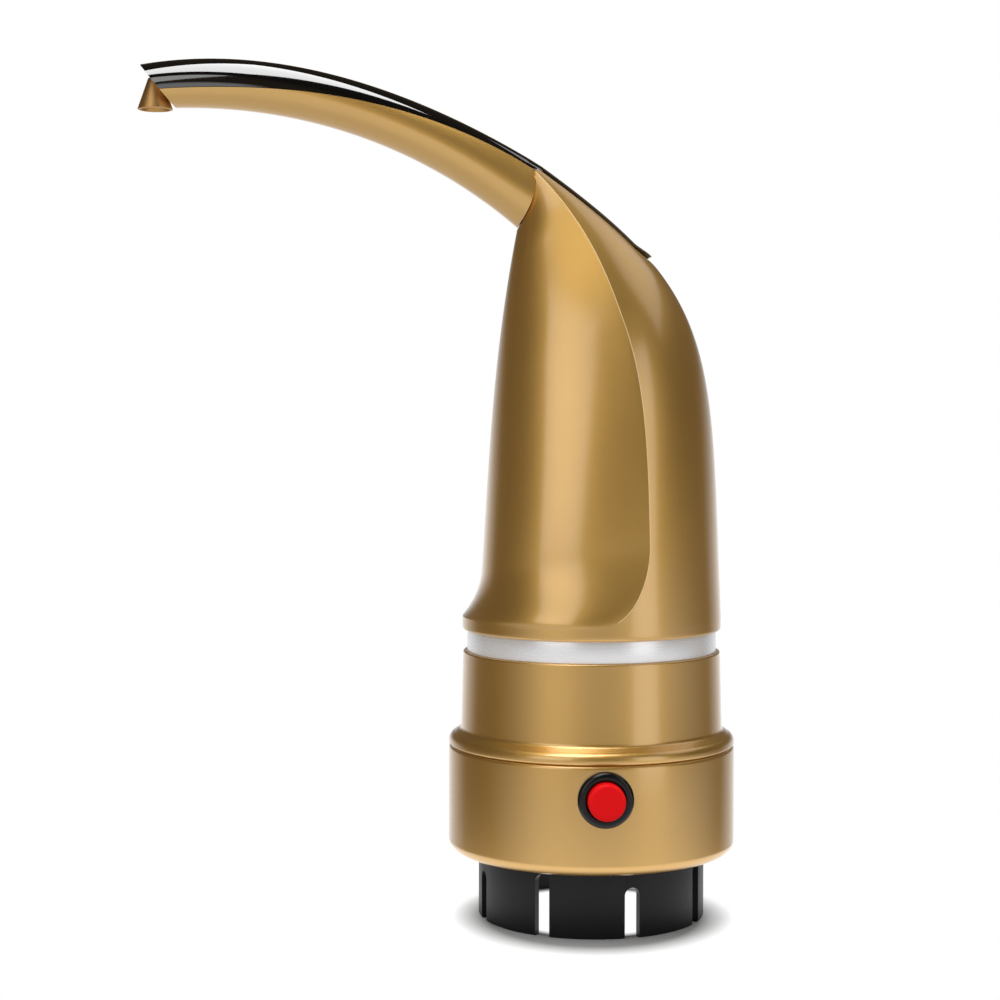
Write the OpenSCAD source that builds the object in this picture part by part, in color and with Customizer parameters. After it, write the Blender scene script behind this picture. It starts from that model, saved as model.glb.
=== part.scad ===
// Electric water pump dispenser for the top of a water bottle.
// The bottle's axis is Z, the spout reaches towards -X, and the push button faces -Y.
// z = 0 is the mouth of the collar, where it is pushed over the bottle's neck.

/* [Bottle collar] */
// Outside diameter of the bottle neck that the collar grips
neck_d = 55.4; // [50:0.1:60]
// Wall of the collar's skirt
collar_wall = 2.3; // [1.6:0.1:3]
// Depth of the socket, from its mouth to the web over the bottle's rim
collar_h = 22; // [20:0.5:30]
// Number of slots that let the skirt spring
slot_count = 8; // [4:2:12]
// Width of a slot
slot_w = 4; // [2:0.1:6]
// Height of every other slot
slot_h = 16; // [8:0.5:18]
// Height of the slots between those
short_slot_h = 13; // [8:0.5:18]
// Turn of the slots about the axis
slot_turn = -27; // [-45:1:45]
// Thickness of the web and its flange
web_t = 2.5; // [2.2:0.1:4]

/* [Base ring] */
// Outside diameter of the base ring
base_d = 75.8; // [74.6:0.1:80]
// Height of the base ring
base_h = 28; // [27:0.5:36]
// How far the base ring hangs below the collar's web
base_drop = 4.5; // [3:0.5:8]
// Wall of the base ring, the drum and the lower housing
shell_wall = 2.4; // [1.8:0.1:2.8]
// Radius of the base ring's lower edge
base_round = 3; // [1:0.1:4]
// Radius of the two edges that make the groove between ring and drum
seam_round = 0.9; // [0.3:0.1:1.4]

/* [Button] */
// Turn of the button from -Y towards +X
button_turn = 3; // [-10:1:10]
// Height of the button's centre below the top of the base ring
button_drop = 8.4; // [8:0.1:10]
// Diameter of the button's bezel
bezel_d = 14.2; // [13:0.1:15]
// Diameter of the red cap
cap_d = 9.4; // [8:0.1:9.8]
// Travel of the cap
button_travel = 2.5; // [1:0.1:3]

/* [Drum and trim ring] */
// Diameter of the drum at its foot
drum_d = 69.2; // [68.6:0.1:71]
// Height of the drum
drum_h = 24.9; // [20:0.1:32]
// How much the drum's radius narrows towards its top
drum_draft = 0.5; // [0:0.1:0.8]
// Diameter of the bright trim ring
trim_d = 66; // [65.4:0.1:67.4]
// Height of the trim ring
trim_h = 5.6; // [3:0.1:10]

/* [Upper housing] */
// Diameter of the housing's rim
rim_d = 68.6; // [67.6:0.1:69]
// Height of the rim below the ledge of the front panel
rim_h = 3.6; // [3:0.1:6]
// How deep the front panel is set back behind the rim
panel_depth = 4.3; // [2:0.1:6]
// Height of the cove that runs from the ledge into the front panel
cove_h = 12; // [8:0.5:20]
// Height of the shoulder, where the housing meets the spout, above the ledge
shoulder_h = 119.2; // [112:0.2:130]
// Width of the housing at the shoulder
shoulder_w = 20.4; // [18.4:0.2:24]

/* [Spout] */
// Reach of the spout's tip from the axis
spout_reach = 119; // [105:1:140]
// Height of the spout's crest over the shoulder
spout_rise = 27; // [20:0.5:35]
// Width of the spout at the shoulder
spout_w = 16; // [14.6:0.1:16.8]
// Width of the spout at its tip
tip_w = 13.4; // [12.8:0.1:16]
// Wall of the spout's lower shell and of its cover
spout_wall = 1.5; // [1:0.1:1.7]
// Thickness of the cover where it is let into the housing's spine
strip_t = 1.6; // [1:0.1:2.2]
// Diameter of the nozzle's mouth
nozzle_d = 9.2; // [7:0.1:10]

/* [Pump and motor] */
// Teeth on each pump gear
gear_teeth = 12; // [10:2:14]
// Module of the pump gears
gear_module = 1; // [0.9:0.05:1.1]
// Width of the pump gears
gear_w = 8; // [6:0.1:8.5]
// Diameter of the motor
motor_d = 24.4; // [22:0.1:25]
// Length of the motor's can
motor_h = 31; // [28:0.1:31.2]
// Diameter of the motor's shaft
shaft_d = 2.5; // [2:0.1:2.6]
// Outside diameter of the delivery hose
hose_d = 7.4; // [6.6:0.1:7.6]
// Bore of the delivery hose
hose_bore = 5; // [4:0.1:5.4]
// Bore of the socket that takes the suction tube
tube_d = 8; // [6:0.1:8.4]

/* [Battery] */
// Diameter of a cell
cell_d = 18.4; // [16:0.1:18.6]
// Length of a cell
cell_h = 65; // [50:0.5:65.5]

/* [Hidden] */
$fn = 96;

gold = "#b58d4c";
dark = "#26262a";
steel = "#b9bbc0";
brass = "#c9a24a";
copper = "#b87333";
cream = "#e8e4d8";

// Clearances: between shells, round a running shaft, round a screw, and between parts pressed together
fit = 0.15;
run = 0.05;
screw_gap = 0.05;
hub_gap = 0.02;
end_gap = 0.1;

// Heights of the stacked pieces, from the mouth of the collar upwards
z_web = collar_h;
z_flange = z_web + web_t;
z_base = z_web - base_drop;
z_seam = z_base + base_h;
deck_t = 3;
z_deck = z_seam + deck_t;
z_drum = z_seam + drum_h;
z_trim = z_drum + trim_h;
z_ledge = z_trim + rim_h;
z_button = z_seam - button_drop;

// Radii of the round shells
r_neck = neck_d / 2;
r_collar = r_neck + collar_wall;
r_base = base_d / 2;
r_base_in = r_base - shell_wall;
r_flange = r_base_in - 2 * fit;
r_rim = rim_d / 2;
r_rim_in = r_rim - shell_wall;
r_drum = drum_d / 2;
r_drum_top = r_drum - drum_draft;
r_trim = trim_d / 2;
r_frame = r_rim_in - 2 * fit;
frame_wall = 2.3;
ledge_t = 3;
ledge_w = 7;
edge_cut = 0.5;
trim_cut = 0.2;
lip_cut = 0.3;
lip_turn = acos(max(0, 1 - (shell_wall - lip_cut) / base_round));
notch_w = 14;
notch_h = 3.6;
notch_d = 1.4;
flare_h = 5;
flare_round = 1.2;

// Gasket over the bottle's rim, and the hole that lets air into the bottle
gasket_out = r_neck - 0.4;
gasket_in = gasket_out - 6.4;
gasket_h = 1.4;
gasket_gap = 0.1;
vent_r = 1.2;
vent_pcr = 17;
vent_turn = 150;

// Screws: shank and head radii, the head's height, and the bosses that take them
screw_r = 1.25;
head_r = 2.2;
head_h = 1.8;
key_r = 0.9;
pilot_r = screw_r + screw_gap;
clear_r = screw_r + 0.25;
screw_bite = 9.5;
boss_r = 3.3;
boss_pcr = r_base_in - boss_r + 0.4;
boss_turns = [45, 135, 225, 315];
pillar_r = 3;
pillar_pcr = r_frame - frame_wall - pillar_r + 0.5;
pillar_turns = [60, 120, 240, 300];
pillar_bite = 12;
leg_r = 2.5;
leg_bite = 10;
leg_places = [[-17, 13], [-17, -13], [14, 15], [14, -15]];

// Flat pads on the base ring that carry the push switch and the charging socket
pad_cut = 0.75;
r_pad = r_base - pad_cut;
pad_boss = 1.2;
pad_wall = shell_wall - pad_cut + pad_boss;
pad_room = 0.25;
nut_t = 3;
nut_r = 8.2;

// Push switch, with its own Z out of the ring and 0 on the pad
barrel_r = 6;
bezel_r = bezel_d / 2;
bezel_t = 2.2;
bezel_round = 1.2;
cap_r = cap_d / 2;
cap_gap = 0.3;
cap_proud = 3;
cap_round = 0.9;
cap_low = -3.8;
well_r = cap_r + cap_gap;
spring_room = 2.7;
well_floor = cap_low - button_travel - spring_room;
guide_t = 3;
guide_floor = well_floor - guide_t;
stem_r = 1.5;
bridge_r = 3.6;
bridge_t = 0.5;
bridge_low = guide_floor - end_gap - bridge_t;
contact_r = 1;
contact_t = 0.6;
contact_low = bridge_low - button_travel - end_gap - contact_t;
plug_t = 1.6;
chamber_r = 4.6;
switch_rear = contact_low - plug_t;
terminal_x = 2.6;
terminal_r = 0.6;
terminal_end = switch_rear - 5;
spring_r = 3;
wire_r = 0.3;
spring_turns = 4;

// Charging socket, on the side away from the button
socket_turn = button_turn + 180;
socket_barrel_r = 5.5;
socket_flange_r = 6.6;
socket_flange_t = 1.6;
socket_bore_r = 3.2;
socket_depth = 8;
socket_rear = -socket_depth - 2;
socket_pin_r = 1;
socket_side_x = 2;
socket_end = socket_rear - 3.4;

// Pump and motor: the motor's axis, the pump's outline and its levels
motor_y = -2;
gear_gap = gear_teeth * gear_module;
driven_y = motor_y + gear_gap;
mesh_y = (motor_y + driven_y) / 2;
gear_pitch_r = gear_gap / 2;
gear_tip_r = gear_pitch_r + 0.85 * gear_module;
gear_root_r = gear_pitch_r - 1.1 * gear_module;
gear_bore_r = gear_tip_r + end_gap;
pressure = 20;
backlash = 0.14;
flank_steps = 5;
gasket_t = 0.6;
cover_t = 3;
pump_lift = head_h + 1;
z_cover_low = z_flange + pump_lift;
z_cover = z_cover_low + cover_t;
z_split = z_cover + gasket_t;
z_roof = z_cover + gear_w + 2 * end_gap;
pump_roof = z_seam - z_roof;
z_gear_mid = (z_roof + z_cover) / 2;
pump_wall = 3.5;
pump_half_w = 10;
pump_low_y = motor_y - gear_bore_r - pump_wall;
pump_high_y = driven_y + gear_bore_r + pump_wall;
port_x = 5;
port_r = 2.6;
inlet_r = tube_d / 2;
inlet_boss_r = inlet_r + 2.2;
inlet_port_r = 2.2;
inlet_stop = z_cover_low + 1;
inlet_neck_r = inlet_r + 1.2;
inlet_neck = 2;
grommet_t = 1.8;
grommet_lip = 1.5;
grommet_lip_t = 1.2;
pump_screw_in = 2.4;
pump_screw_places = [for (x = [pump_screw_in - pump_half_w, pump_half_w - pump_screw_in])
    for (y = [pump_low_y + pump_screw_in, pump_high_y - pump_screw_in]) [x, y]];
pump_bite = 8;
mount_places = [for (s = [-1, 1]) [s * 6.5, driven_y + 4.5]];
mount_bite = pump_roof - 2;
shaft_r = shaft_d / 2;
pin_r = 1.5;
pin_low = 1.4;
pin_high = 0.54 * pump_roof;
seal_r = 3.9;
pilot_boss_r = 4;
z_seal = z_roof + 0.36 * pump_roof;
z_pilot = z_roof + 0.79 * pump_roof;
motor_r = motor_d / 2;
can_wall = 1;
can_floor = 1.2;
can_in = motor_r - can_wall;
z_can_top = z_seam + motor_h;
endcap_t = 2.5;
endcap_lip = 0.9;
z_motor_top = z_can_top + endcap_t;
bush_r = 3;
bush_up = 2.2;
magnet_t = 2.3;
magnet_end = 5;
rotor_r = can_in - magnet_t - 0.5;
rotor_end = 6;
rotor_slot = 2.4;
coil_t = 2.5;
coil_room = 0.8;
commutator_r = 3.3;
brush_l = 4;
brush_w = 2.4;
motor_tab_x = motor_r - 2.8;
motor_tab_y = 4.5;
motor_tab = [0.6, 2, 2];

// Hose: spigot sizes, its hole in the deck, and the hole for the leads beside it
hose_r = hose_d / 2;
hose_sides = 12;
spigot_r = hose_bore / 2 * cos(180 / hose_sides) - 2 * run;
spigot_bore_r = 1.3;
spigot_x = pump_half_w + 5.2;
hose_x = pump_half_w + 14.4;
hose_hole_r = hose_r + 0.9;
clip_t = 0.8;
clip_w = 3;
lead_hole = [17, -4.9];
lead_hole_r = 4;

// Battery holder and board
cell_r = cell_d / 2;
cell_x = -5.5;
cell_y = cell_r + 0.25;
z_plate = z_motor_top + 2.2;
plate_t = 2.5;
plate_x = [-20, 17];
plate_half_w = 19;
plate_round = 3;
plate_slot = [[12, -10.5], [8, 14]];
post_r = [8, 5.5];
z_tray = z_plate + plate_t;
tab_t = 0.3;
tab_gap = 0.05;
tab_l = 12.2;
tab_w = [6, 5];
z_cell = z_tray + tab_t + 2 * tab_gap;
z_cell_top = z_cell + cell_h;
z_cap_plate = z_cell_top + tab_t + 2 * tab_gap;
cap_plate_t = 2;
cup_wall = 1.2;
cup_h = 8;
spine_x = cell_x + cell_r + fit + cup_wall - 0.2;
spine_t = 2;
spine_half_w = 7;
board_gap = 1.8;
board_x = spine_x + spine_t + board_gap;
board_t = 1.6;
board_w = 26;
board_h = 41;
z_board = z_tray + 8;
standoff_r = 1.6;
standoff_places = [for (y = [-5, 5]) for (z = [8, board_h - 7]) [y, z]];
board_screw_r = 0.7;
board_screw_l = 4;
board_head_r = 1.5;
chips = [[[-7, 17], [1.4, 6, 6]], [[5, 14], [3, 6, 6]], [[-10.5, 28], [1, 3, 5]]];
capacitor_place = [1, 26];
capacitor_r = 2.4;
capacitor_h = 4.2;

// Leads: their radius and hand-laid routes, which end at the back of the board
lead_r = 0.7;
pad_x = board_x + board_t + lead_r + hub_gap;
z_pads = z_board + 2.5;
z_rise = z_seam + 16.5;
z_over = z_motor_top - 3;
switch_y = -r_pad - terminal_end;
socket_y = r_pad + socket_end;
switch_routes = [
    [[3.4, switch_y + 1.15, z_button], [8, switch_y + 1.15, z_button + 0.7], [13, -11, z_button + 2.9],
        [16.4, -7.2, z_seam - 1.5], [16.6, -6.2, z_deck + 0.5], [16.2, -6, z_rise], [15.4, -5.8, z_over],
        [14.2, -5.4, z_tray], [12.8, -5.2, z_board - 2], [pad_x, -5, z_pads]],
    [[-1.8, switch_y + 0.85, z_button - 0.5], [-0.6, switch_y + 0.95, z_button - 2.2],
        [3, switch_y + 0.95, z_button - 2.5], [8, switch_y + 0.95, z_button - 1.7],
        [13.5, -12.5, z_button + 1.4], [17.8, -8.6, z_seam - 2.5], [18.3, -6.9, z_deck + 0.5],
        [18, -6.8, z_rise], [17, -7, z_over], [15.8, -7.4, z_tray], [13.6, -8, z_board - 2],
        [pad_x, -8, z_pads]]];
socket_routes = [
    [[0.8, socket_y - 0.85, z_button], [5, socket_y - 0.75, z_button + 1.1], [10.5, 22, z_button + 2.9],
        [12.8, 17, z_button + 3.5], [13, 9, z_button + 4.3], [13.4, 1, z_seam - 2.9],
        [15.2, -2.4, z_seam - 0.3], [15.7, -3.4, z_deck + 0.5], [15.4, -3.4, z_rise], [14.6, -3.2, z_over],
        [13.6, -2.8, z_tray], [12.4, -2.2, z_board - 2], [pad_x, -2, z_pads]],
    [[-3.2, socket_y - 1.05, z_button + 0.3], [-2.5, socket_y - 0.55, z_button + 2.7],
        [4, socket_y + 0.65, z_button + 3.5], [11, 23.6, z_button + 3.9], [14.8, 17.5, z_button + 4.5],
        [15, 9, z_seam - 3.1], [15.4, 1, z_seam - 2.3], [17, -2, z_seam - 0.1], [17.6, -3.2, z_deck + 0.5],
        [17.4, -3.8, z_rise], [16.4, -3.6, z_over], [15.2, -3, z_tray], [13.4, -0.5, z_board - 2],
        [pad_x, 1, z_pads]]];
tab_end = motor_tab_x + motor_tab[0] + 0.9;
motor_routes = [
    [[tab_end, 2.5, z_motor_top + 1.2], [13, 2.6, z_motor_top + 1.6], [14.6, 1.4, z_tray],
        [13.2, 3, z_board - 2], [pad_x, 4, z_pads]],
    [[tab_end, -6.5, z_motor_top + 1.2], [12.7, -7.8, z_motor_top + 1.9], [13.6, -9.2, z_tray],
        [13, -10.4, z_board - 2], [pad_x, -11, z_pads]]];
battery_routes = [for (s = [-1, 1]) [[4.2, cell_y * s, z_cell_top + 0.2], [7, 10 * s, z_cell_top - 0.8],
    [10.6, 10.4 * s, z_cell_top - 5.4], [12.2, 10.4 * s, z_board + board_h + 4],
    [pad_x, 10 * s, z_board + board_h - 2.5]]];

// Side profile of the housing: rails along its front and its spine, as [x, z]
z_shoulder = z_ledge + shoulder_h;
shoulder_x = -14.1;
throat = [shoulder_x - 5.7, z_shoulder - 17.2];
front_x = panel_depth - r_rim;
front_rail = [[front_x, z_ledge], [front_x + 2.7, z_ledge + 35.4], [front_x + 3, z_ledge + 65.4], throat];
spine_rail = [[r_rim, z_ledge], [r_rim - 3.1, z_ledge + 72.4], [r_rim - 0.1, z_ledge + 84.5],
    [shoulder_x, z_shoulder]];
half_law = [r_rim, r_rim + 0.5, r_rim - 7, shoulder_w / 2];
back_share = 0.538;
crease_share = 0.68;
crease_climb = 0.16;
crease_bend = 0.6;
crease_round = 13;
panel_shift = 0.07;
panel_power = 2.5;
cove_end = 0.12;
strip_start = 0.685;
strip_ease = 0.09;
strip_end = 0.994;
tail_lift = 1;
tail_run = 0.05;
strip_gap = 0.15;
strip_inset = 1.5;
throat_wall = 1.4;
wall_bend = 0.6;
rim_edge = [[0, 0.9], [0.35, 0.25], [1.1, 0]];

// Side profile of the spout, as [x, z], from the shoulder to the tip
z_crest = z_shoulder + spout_rise;
z_tip = z_crest - 0.85;
tip_height = 11.25;
crown_rail = [[shoulder_x, z_shoulder], [shoulder_x - 24.2, z_shoulder + 14.7],
    [41.1 - spout_reach, z_crest + 6.25], [-spout_reach, z_tip]];
belly_rail = [throat + [0, 0.6], throat + [-24.8, 21.8], [43.1 - spout_reach, z_crest - 11.4],
    [9.2 - spout_reach, z_tip - tip_height]];
cover_share = [0.13, 0.64];
cover_lead = 0.05;
cover_run = 0.9;
tenon_in = 2.15;
tenon_wall = 1.2;
tenon_reach = 0.07;
tip_gap = 0.2;
tip_span = [0.965, 0.995];
tip_sides = 28;
nozzle_x = 3.8 - spout_reach;
z_nozzle = z_tip - 11.75;
nozzle_h = 8.2;
nozzle_wall = 0.7;
nozzle_top_r = spigot_bore_r + 0.5;
nozzle_throat = nozzle_h - 1.5;
z_nozzle_spigot = z_nozzle + 7;
nozzle_spigot_x = nozzle_x + 15.2;

// Route of the hose: out of the pump, up behind the board, then through the housing and the spout
spout_ways = [0.08, 0.16, 0.3, 0.45, 0.6, 0.74];
hose_ways = [[0.68, 0.74], [0.76, 0.7], [0.84, 0.66], [0.92, 0.61], [1, 0.57]];
hose_route = concat(
    [[pump_half_w + 0.8, mesh_y, z_gear_mid], [hose_x - 9.4, mesh_y, z_gear_mid],
        [hose_x - 5.4, mesh_y, z_gear_mid + 0.9], [hose_x - 1.8, mesh_y, z_gear_mid + 4.2],
        [hose_x - 0.2, mesh_y, z_gear_mid + 9], [hose_x, mesh_y, z_deck + 1.5],
        [hose_x - 0.6, mesh_y - 0.4, z_rise], [hose_x - 1.6, mesh_y - 1, z_over],
        [hose_x - 2.6, 2, z_board], [hose_x - 3.8, 1, z_board + 18], [hose_x - 5.8, 0, z_board + 36],
        [hose_x - 9, 0, z_board + 52]],
    [for (e = hose_ways) let (p = mix(bezier(front_rail, e[0]), bezier(spine_rail, e[0]), e[1]))
        [p[0], 0, p[1]]],
    [for (s = spout_ways) let (p = mix(bezier(belly_rail, s), bezier(crown_rail, s), 0.5)) [p[0], 0, p[1]]],
    [[nozzle_spigot_x + 1, 0, z_nozzle_spigot], [nozzle_spigot_x - 6, 0, z_nozzle_spigot]]);

// Grid sizes of the lofted shells
cove_rows = 7;
housing_rows = 17;
panel_cols = 18;
back_cols = 22;
spout_rows = 20;
spout_cols = 14;
cover_cols = 10;
strip_rows = 8;

// Curves

function mix(a, b, s) = a + (b - a) * s;
function unit(v) = v / norm(v);
function ease(s) = let (c = max(0, min(1, s))) c * c * (3 - 2 * c);
function bezier(p, t) = pow(1 - t, 3) * p[0] + 3 * pow(1 - t, 2) * t * p[1] + 3 * (1 - t) * t * t * p[2]
    + t * t * t * p[3];
function arc(c, r, from, to, n) = [for (i = [0:n]) c + r * [cos(from + (to - from) * i / n),
    sin(from + (to - from) * i / n)]];

// A point of a tilted section: u runs along the section from its low end, v across the object
function section_point(low, high, u, v) = let (p = low + unit(high - low) * u) [p[0], v, p[1]];

// Points along a route, rounded between the given ones
function spline(p, i, s) = let (a = p[max(i - 1, 0)], b = p[i], c = p[i + 1], d = p[min(i + 2, len(p) - 1)])
    0.5 * (2 * b + (c - a) * s + (2 * a - 5 * b + 4 * c - d) * s * s + (3 * b - a - 3 * c + d) * s * s * s);
function smooth_route(p, n) = [for (i = [0:len(p) - 2]) for (k = [0:n - 1]) spline(p, i, k / n),
    p[len(p) - 1]];

// Rings of a tube that follows a path; lean is any direction that the path never takes
function tube_rings(path, r, sides, lean) = [for (i = [0:len(path) - 1])
    let (t = unit(path[min(i + 1, len(path) - 1)] - path[max(i - 1, 0)]), n = unit(cross(lean, t)),
        b = cross(t, n))
    [for (j = [0:sides - 1]) path[i] + r * (cos(360 * j / sides) * n + sin(360 * j / sides) * b)]];

// Triangles

function flat(rows) = [for (row = rows) for (p = row) p];
function two(a, b, c, d) = [[a, b, c], [a, c, d]];
function skin(n, m, from, wrap, out) = [for (i = [0:n - 2]) for (j = [0:m - (wrap ? 1 : 2)])
    let (k = (j + 1) % m, a = from + i * m + j, b = from + i * m + k, c = a + m, d = b + m)
    for (f = out ? two(a, c, d, b) : two(a, b, d, c)) f];
function rim(n, m, row, wrap, low) = let (o = row * m, q = n * m + row * m)
    [for (j = [0:m - (wrap ? 1 : 2)]) let (k = (j + 1) % m)
        for (f = low ? two(o + j, o + k, q + k, q + j) : two(o + k, o + j, q + j, q + k)) f];
function edge(n, m, col, first) = [for (i = [0:n - 2])
    let (a = i * m + col, c = a + m, q = n * m + a, s = q + m)
    for (f = first ? two(c, a, q, s) : two(a, c, s, q)) f];

// A shell between two grids of points; wrap closes each row into a loop
module shell(outer, inner, wrap) {
    n = len(outer);
    m = len(outer[0]);
    sides = wrap ? [] : concat(edge(n, m, 0, true), edge(n, m, m - 1, false));
    polyhedron(points = concat(flat(outer), flat(inner)), convexity = 8,
        faces = concat(skin(n, m, 0, wrap, true), skin(n, m, n * m, wrap, false),
            rim(n, m, 0, wrap, true), rim(n, m, n - 1, wrap, false), sides));
}

// A solid through closed rows, capped by fans at both ends
module loft(rows) {
    n = len(rows);
    m = len(rows[0]);
    last = (n - 1) * m;
    polyhedron(points = flat(rows), convexity = 8,
        faces = concat(skin(n, m, 0, true, true), [for (j = [1:m - 2]) [0, j, j + 1]],
            [for (j = [1:m - 2]) [last, last + j + 1, last + j]]));
}

module lead(route) {
    loft(tube_rings(smooth_route(route, 3), lead_r, 6, unit([0.35, 0.9, 0.27])));
}

// Small shared shapes

module tube(r_out, r_in, z0, z1) {
    translate([0, 0, z0]) difference() {
        cylinder(r = r_out, h = z1 - z0);
        translate([0, 0, -1]) cylinder(r = r_in, h = z1 - z0 + 2);
    }
}

module disc(r, z0, z1) {
    translate([0, 0, z0]) cylinder(r = r, h = z1 - z0);
}

// A pan-head screw with a hexagon socket: its head sits on z = 0 and its shank points up
module screw(length) {
    difference() {
        union() {
            disc(head_r, -head_h, 0);
            disc(screw_r, 0, length);
        }
        translate([0, 0, -head_h - 1]) cylinder(r = key_r, h = 2, $fn = 6);
    }
}

module screw_down(length) {
    rotate([180, 0, 0]) screw(length);
}

module around(turns, radius) {
    for (a = turns) rotate(a) translate([radius, 0, 0]) children();
}

module at_places(places) {
    for (p = places) translate([p[0], p[1], 0]) children();
}

// Turns a piece so that its own Z points out of the base ring, with z = 0 on the flat pad
module on_pad(turn) {
    rotate(turn) translate([0, -r_pad, z_button]) rotate([90, 0, 0]) children();
}

module rounded(x0, x1, y0, y1, r) {
    translate([x0 + r, y0]) square([x1 - x0 - 2 * r, y1 - y0]);
    translate([x0, y0 + r]) square([x1 - x0, y1 - y0 - 2 * r]);
    for (x = [x0 + r, x1 - r]) for (y = [y0 + r, y1 - r]) translate([x, y]) circle(r = r);
}

// Collar

module bottle_collar() {
    color(dark) difference() {
        rotate_extrude() polygon([[r_neck, 0], [r_collar - edge_cut, 0], [r_collar, edge_cut],
            [r_collar, z_web], [r_flange, z_web], [r_flange, z_flange], [0, z_flange], [0, z_web],
            [r_neck, z_web]]);
        for (i = [0:slot_count - 1]) rotate(slot_turn + i * 360 / slot_count)
            slot(i % 2 == 0 ? slot_h : short_slot_h);
        tube(gasket_out + gasket_gap, gasket_in - gasket_gap, z_web - 1, z_web + gasket_h);
        at_inlet() disc(inlet_boss_r + grommet_t, z_web - 1, z_flange + 1);
        around(boss_turns, boss_pcr) {
            disc(clear_r, z_web - 1, z_flange + 1);
            disc(head_r + fit, z_web - head_h - fit, z_web - hub_gap);
        }
        around([vent_turn - 90], vent_pcr) disc(vent_r, z_web - 1, z_flange + 1);
    }
}

// One slot with a round top, cut out through the skirt on the -Y side
module slot(height) {
    straight = height - slot_w / 2;
    translate([-slot_w / 2, -r_collar - 1, -1]) cube([slot_w, collar_wall + 2, straight + 1]);
    translate([0, -r_collar - 1, straight]) rotate([-90, 0, 0]) cylinder(d = slot_w, h = collar_wall + 2);
}

module neck_gasket() {
    color("#5a5a5e") tube(gasket_out, gasket_in, z_web, z_web + gasket_h);
}

module collar_screws() {
    color(steel) around(boss_turns, boss_pcr) translate([0, 0, z_web]) screw(web_t + screw_bite);
}

module inlet_grommet() {
    color("#3c3c40") at_inlet() {
        tube(inlet_boss_r + grommet_t, inlet_boss_r + hub_gap, z_web, z_flange);
        tube(inlet_boss_r + grommet_t + grommet_lip, inlet_boss_r + hub_gap, z_flange,
            z_flange + grommet_lip_t);
    }
}

// Base ring

module base_ring() {
    color(gold) difference() {
        union() {
            rotate_extrude() polygon(concat([[r_base_in, z_base + base_round]],
                arc([r_base - base_round, z_base + base_round], base_round, -lip_turn, 0, 6),
                arc([r_base - seam_round, z_seam - seam_round], seam_round, 0, 90, 4),
                [[r_base_in, z_seam], [r_base_in, z_flange + ledge_t],
                [r_base_in - ledge_w, z_flange + ledge_t], [r_base_in - ledge_w, z_flange],
                [r_base_in, z_flange]]));
            around(boss_turns, boss_pcr) rotate(180) disc(boss_r, z_flange + ledge_t / 2, z_seam);
            for (a = [button_turn, socket_turn]) intersection() {
                on_pad(a) disc(nut_r + 0.6, -pad_wall, 0);
                disc(r_base - 1, z_base, z_seam);
            }
        }
        around(boss_turns, boss_pcr) {
            disc(pilot_r, z_flange - 1, z_flange + screw_bite + 0.5);
            disc(pilot_r, z_seam - screw_bite - 0.5, z_seam + 1);
        }
        on_pad(button_turn) pad_hole(bezel_r, barrel_r);
        on_pad(socket_turn) pad_hole(socket_flange_r, socket_barrel_r);
        for (a = [button_turn, socket_turn]) on_pad(a) disc(nut_r + run, -pad_wall - nut_t - fit, -pad_wall);
        translate([r_base - notch_d, -notch_w / 2, z_base - 1]) cube([notch_d + 1, notch_w, notch_h + 1]);
    }
}

module pad_hole(flange_r, hole_r) {
    disc(flange_r + pad_room, 0, pad_cut + 3);
    disc(hole_r + end_gap, -pad_wall - nut_t, 1);
}

// Push switch

module switch_body() {
    color(dark) on_pad(button_turn) difference() {
        rotate_extrude() polygon(concat(
            [[0, switch_rear], [barrel_r, switch_rear], [barrel_r, 0], [bezel_r, 0]],
            arc([bezel_r - bezel_round, bezel_t - bezel_round], bezel_round, 0, 90, 5), [[0, bezel_t]]));
        disc(well_r, well_floor, bezel_t + 1);
        disc(stem_r + run, guide_floor - 1, well_floor + 1);
        disc(chamber_r, switch_rear - 1, guide_floor);
    }
}

module pad_nut(across, hole_r) {
    difference() {
        translate([0, 0, -pad_wall - nut_t]) cylinder(r = across, h = nut_t, $fn = 6);
        disc(hole_r, -pad_wall - nut_t - 1, 0);
    }
}

module switch_nut() {
    color(steel) on_pad(button_turn) pad_nut(nut_r, barrel_r + run);
}

module switch_base() {
    color("#38332c") on_pad(button_turn) difference() {
        union() {
            disc(chamber_r - run, switch_rear, contact_low);
            disc(barrel_r, switch_rear - 1.2, switch_rear);
        }
        at_terminals() disc(terminal_r + hub_gap, switch_rear - 2, contact_low + 1);
    }
}

module at_terminals() {
    for (s = [-1, 1]) translate([s * terminal_x, 0, 0]) children();
}

module switch_terminals() {
    color(brass) on_pad(button_turn) at_terminals() {
        disc(terminal_r, terminal_end, contact_low);
        disc(contact_r, contact_low, contact_low + contact_t);
    }
}

module button_cap() {
    cap_top = bezel_t + cap_proud;
    color("#d81e22") on_pad(button_turn) {
        rotate_extrude() polygon(concat([[0, cap_low], [cap_r, cap_low]],
            arc([cap_r - cap_round, cap_top - cap_round], cap_round, 0, 90, 5), [[0, cap_top]]));
        disc(stem_r, bridge_low - end_gap, cap_low);
    }
}

module contact_bridge() {
    color(copper) on_pad(button_turn) tube(bridge_r, stem_r + hub_gap, bridge_low, bridge_low + bridge_t);
}

module button_spring() {
    low = well_floor + wire_r + run;
    high = cap_low - wire_r - run;
    steps = 10 * spring_turns;
    coil = [for (i = [0:steps]) let (a = 360 * spring_turns * i / steps)
        [spring_r * cos(a), spring_r * sin(a), mix(low, high, i / steps)]];
    color(steel) on_pad(button_turn) loft(tube_rings(coil, wire_r, 6, [0, 0, 1]));
}

// Charging socket

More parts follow.
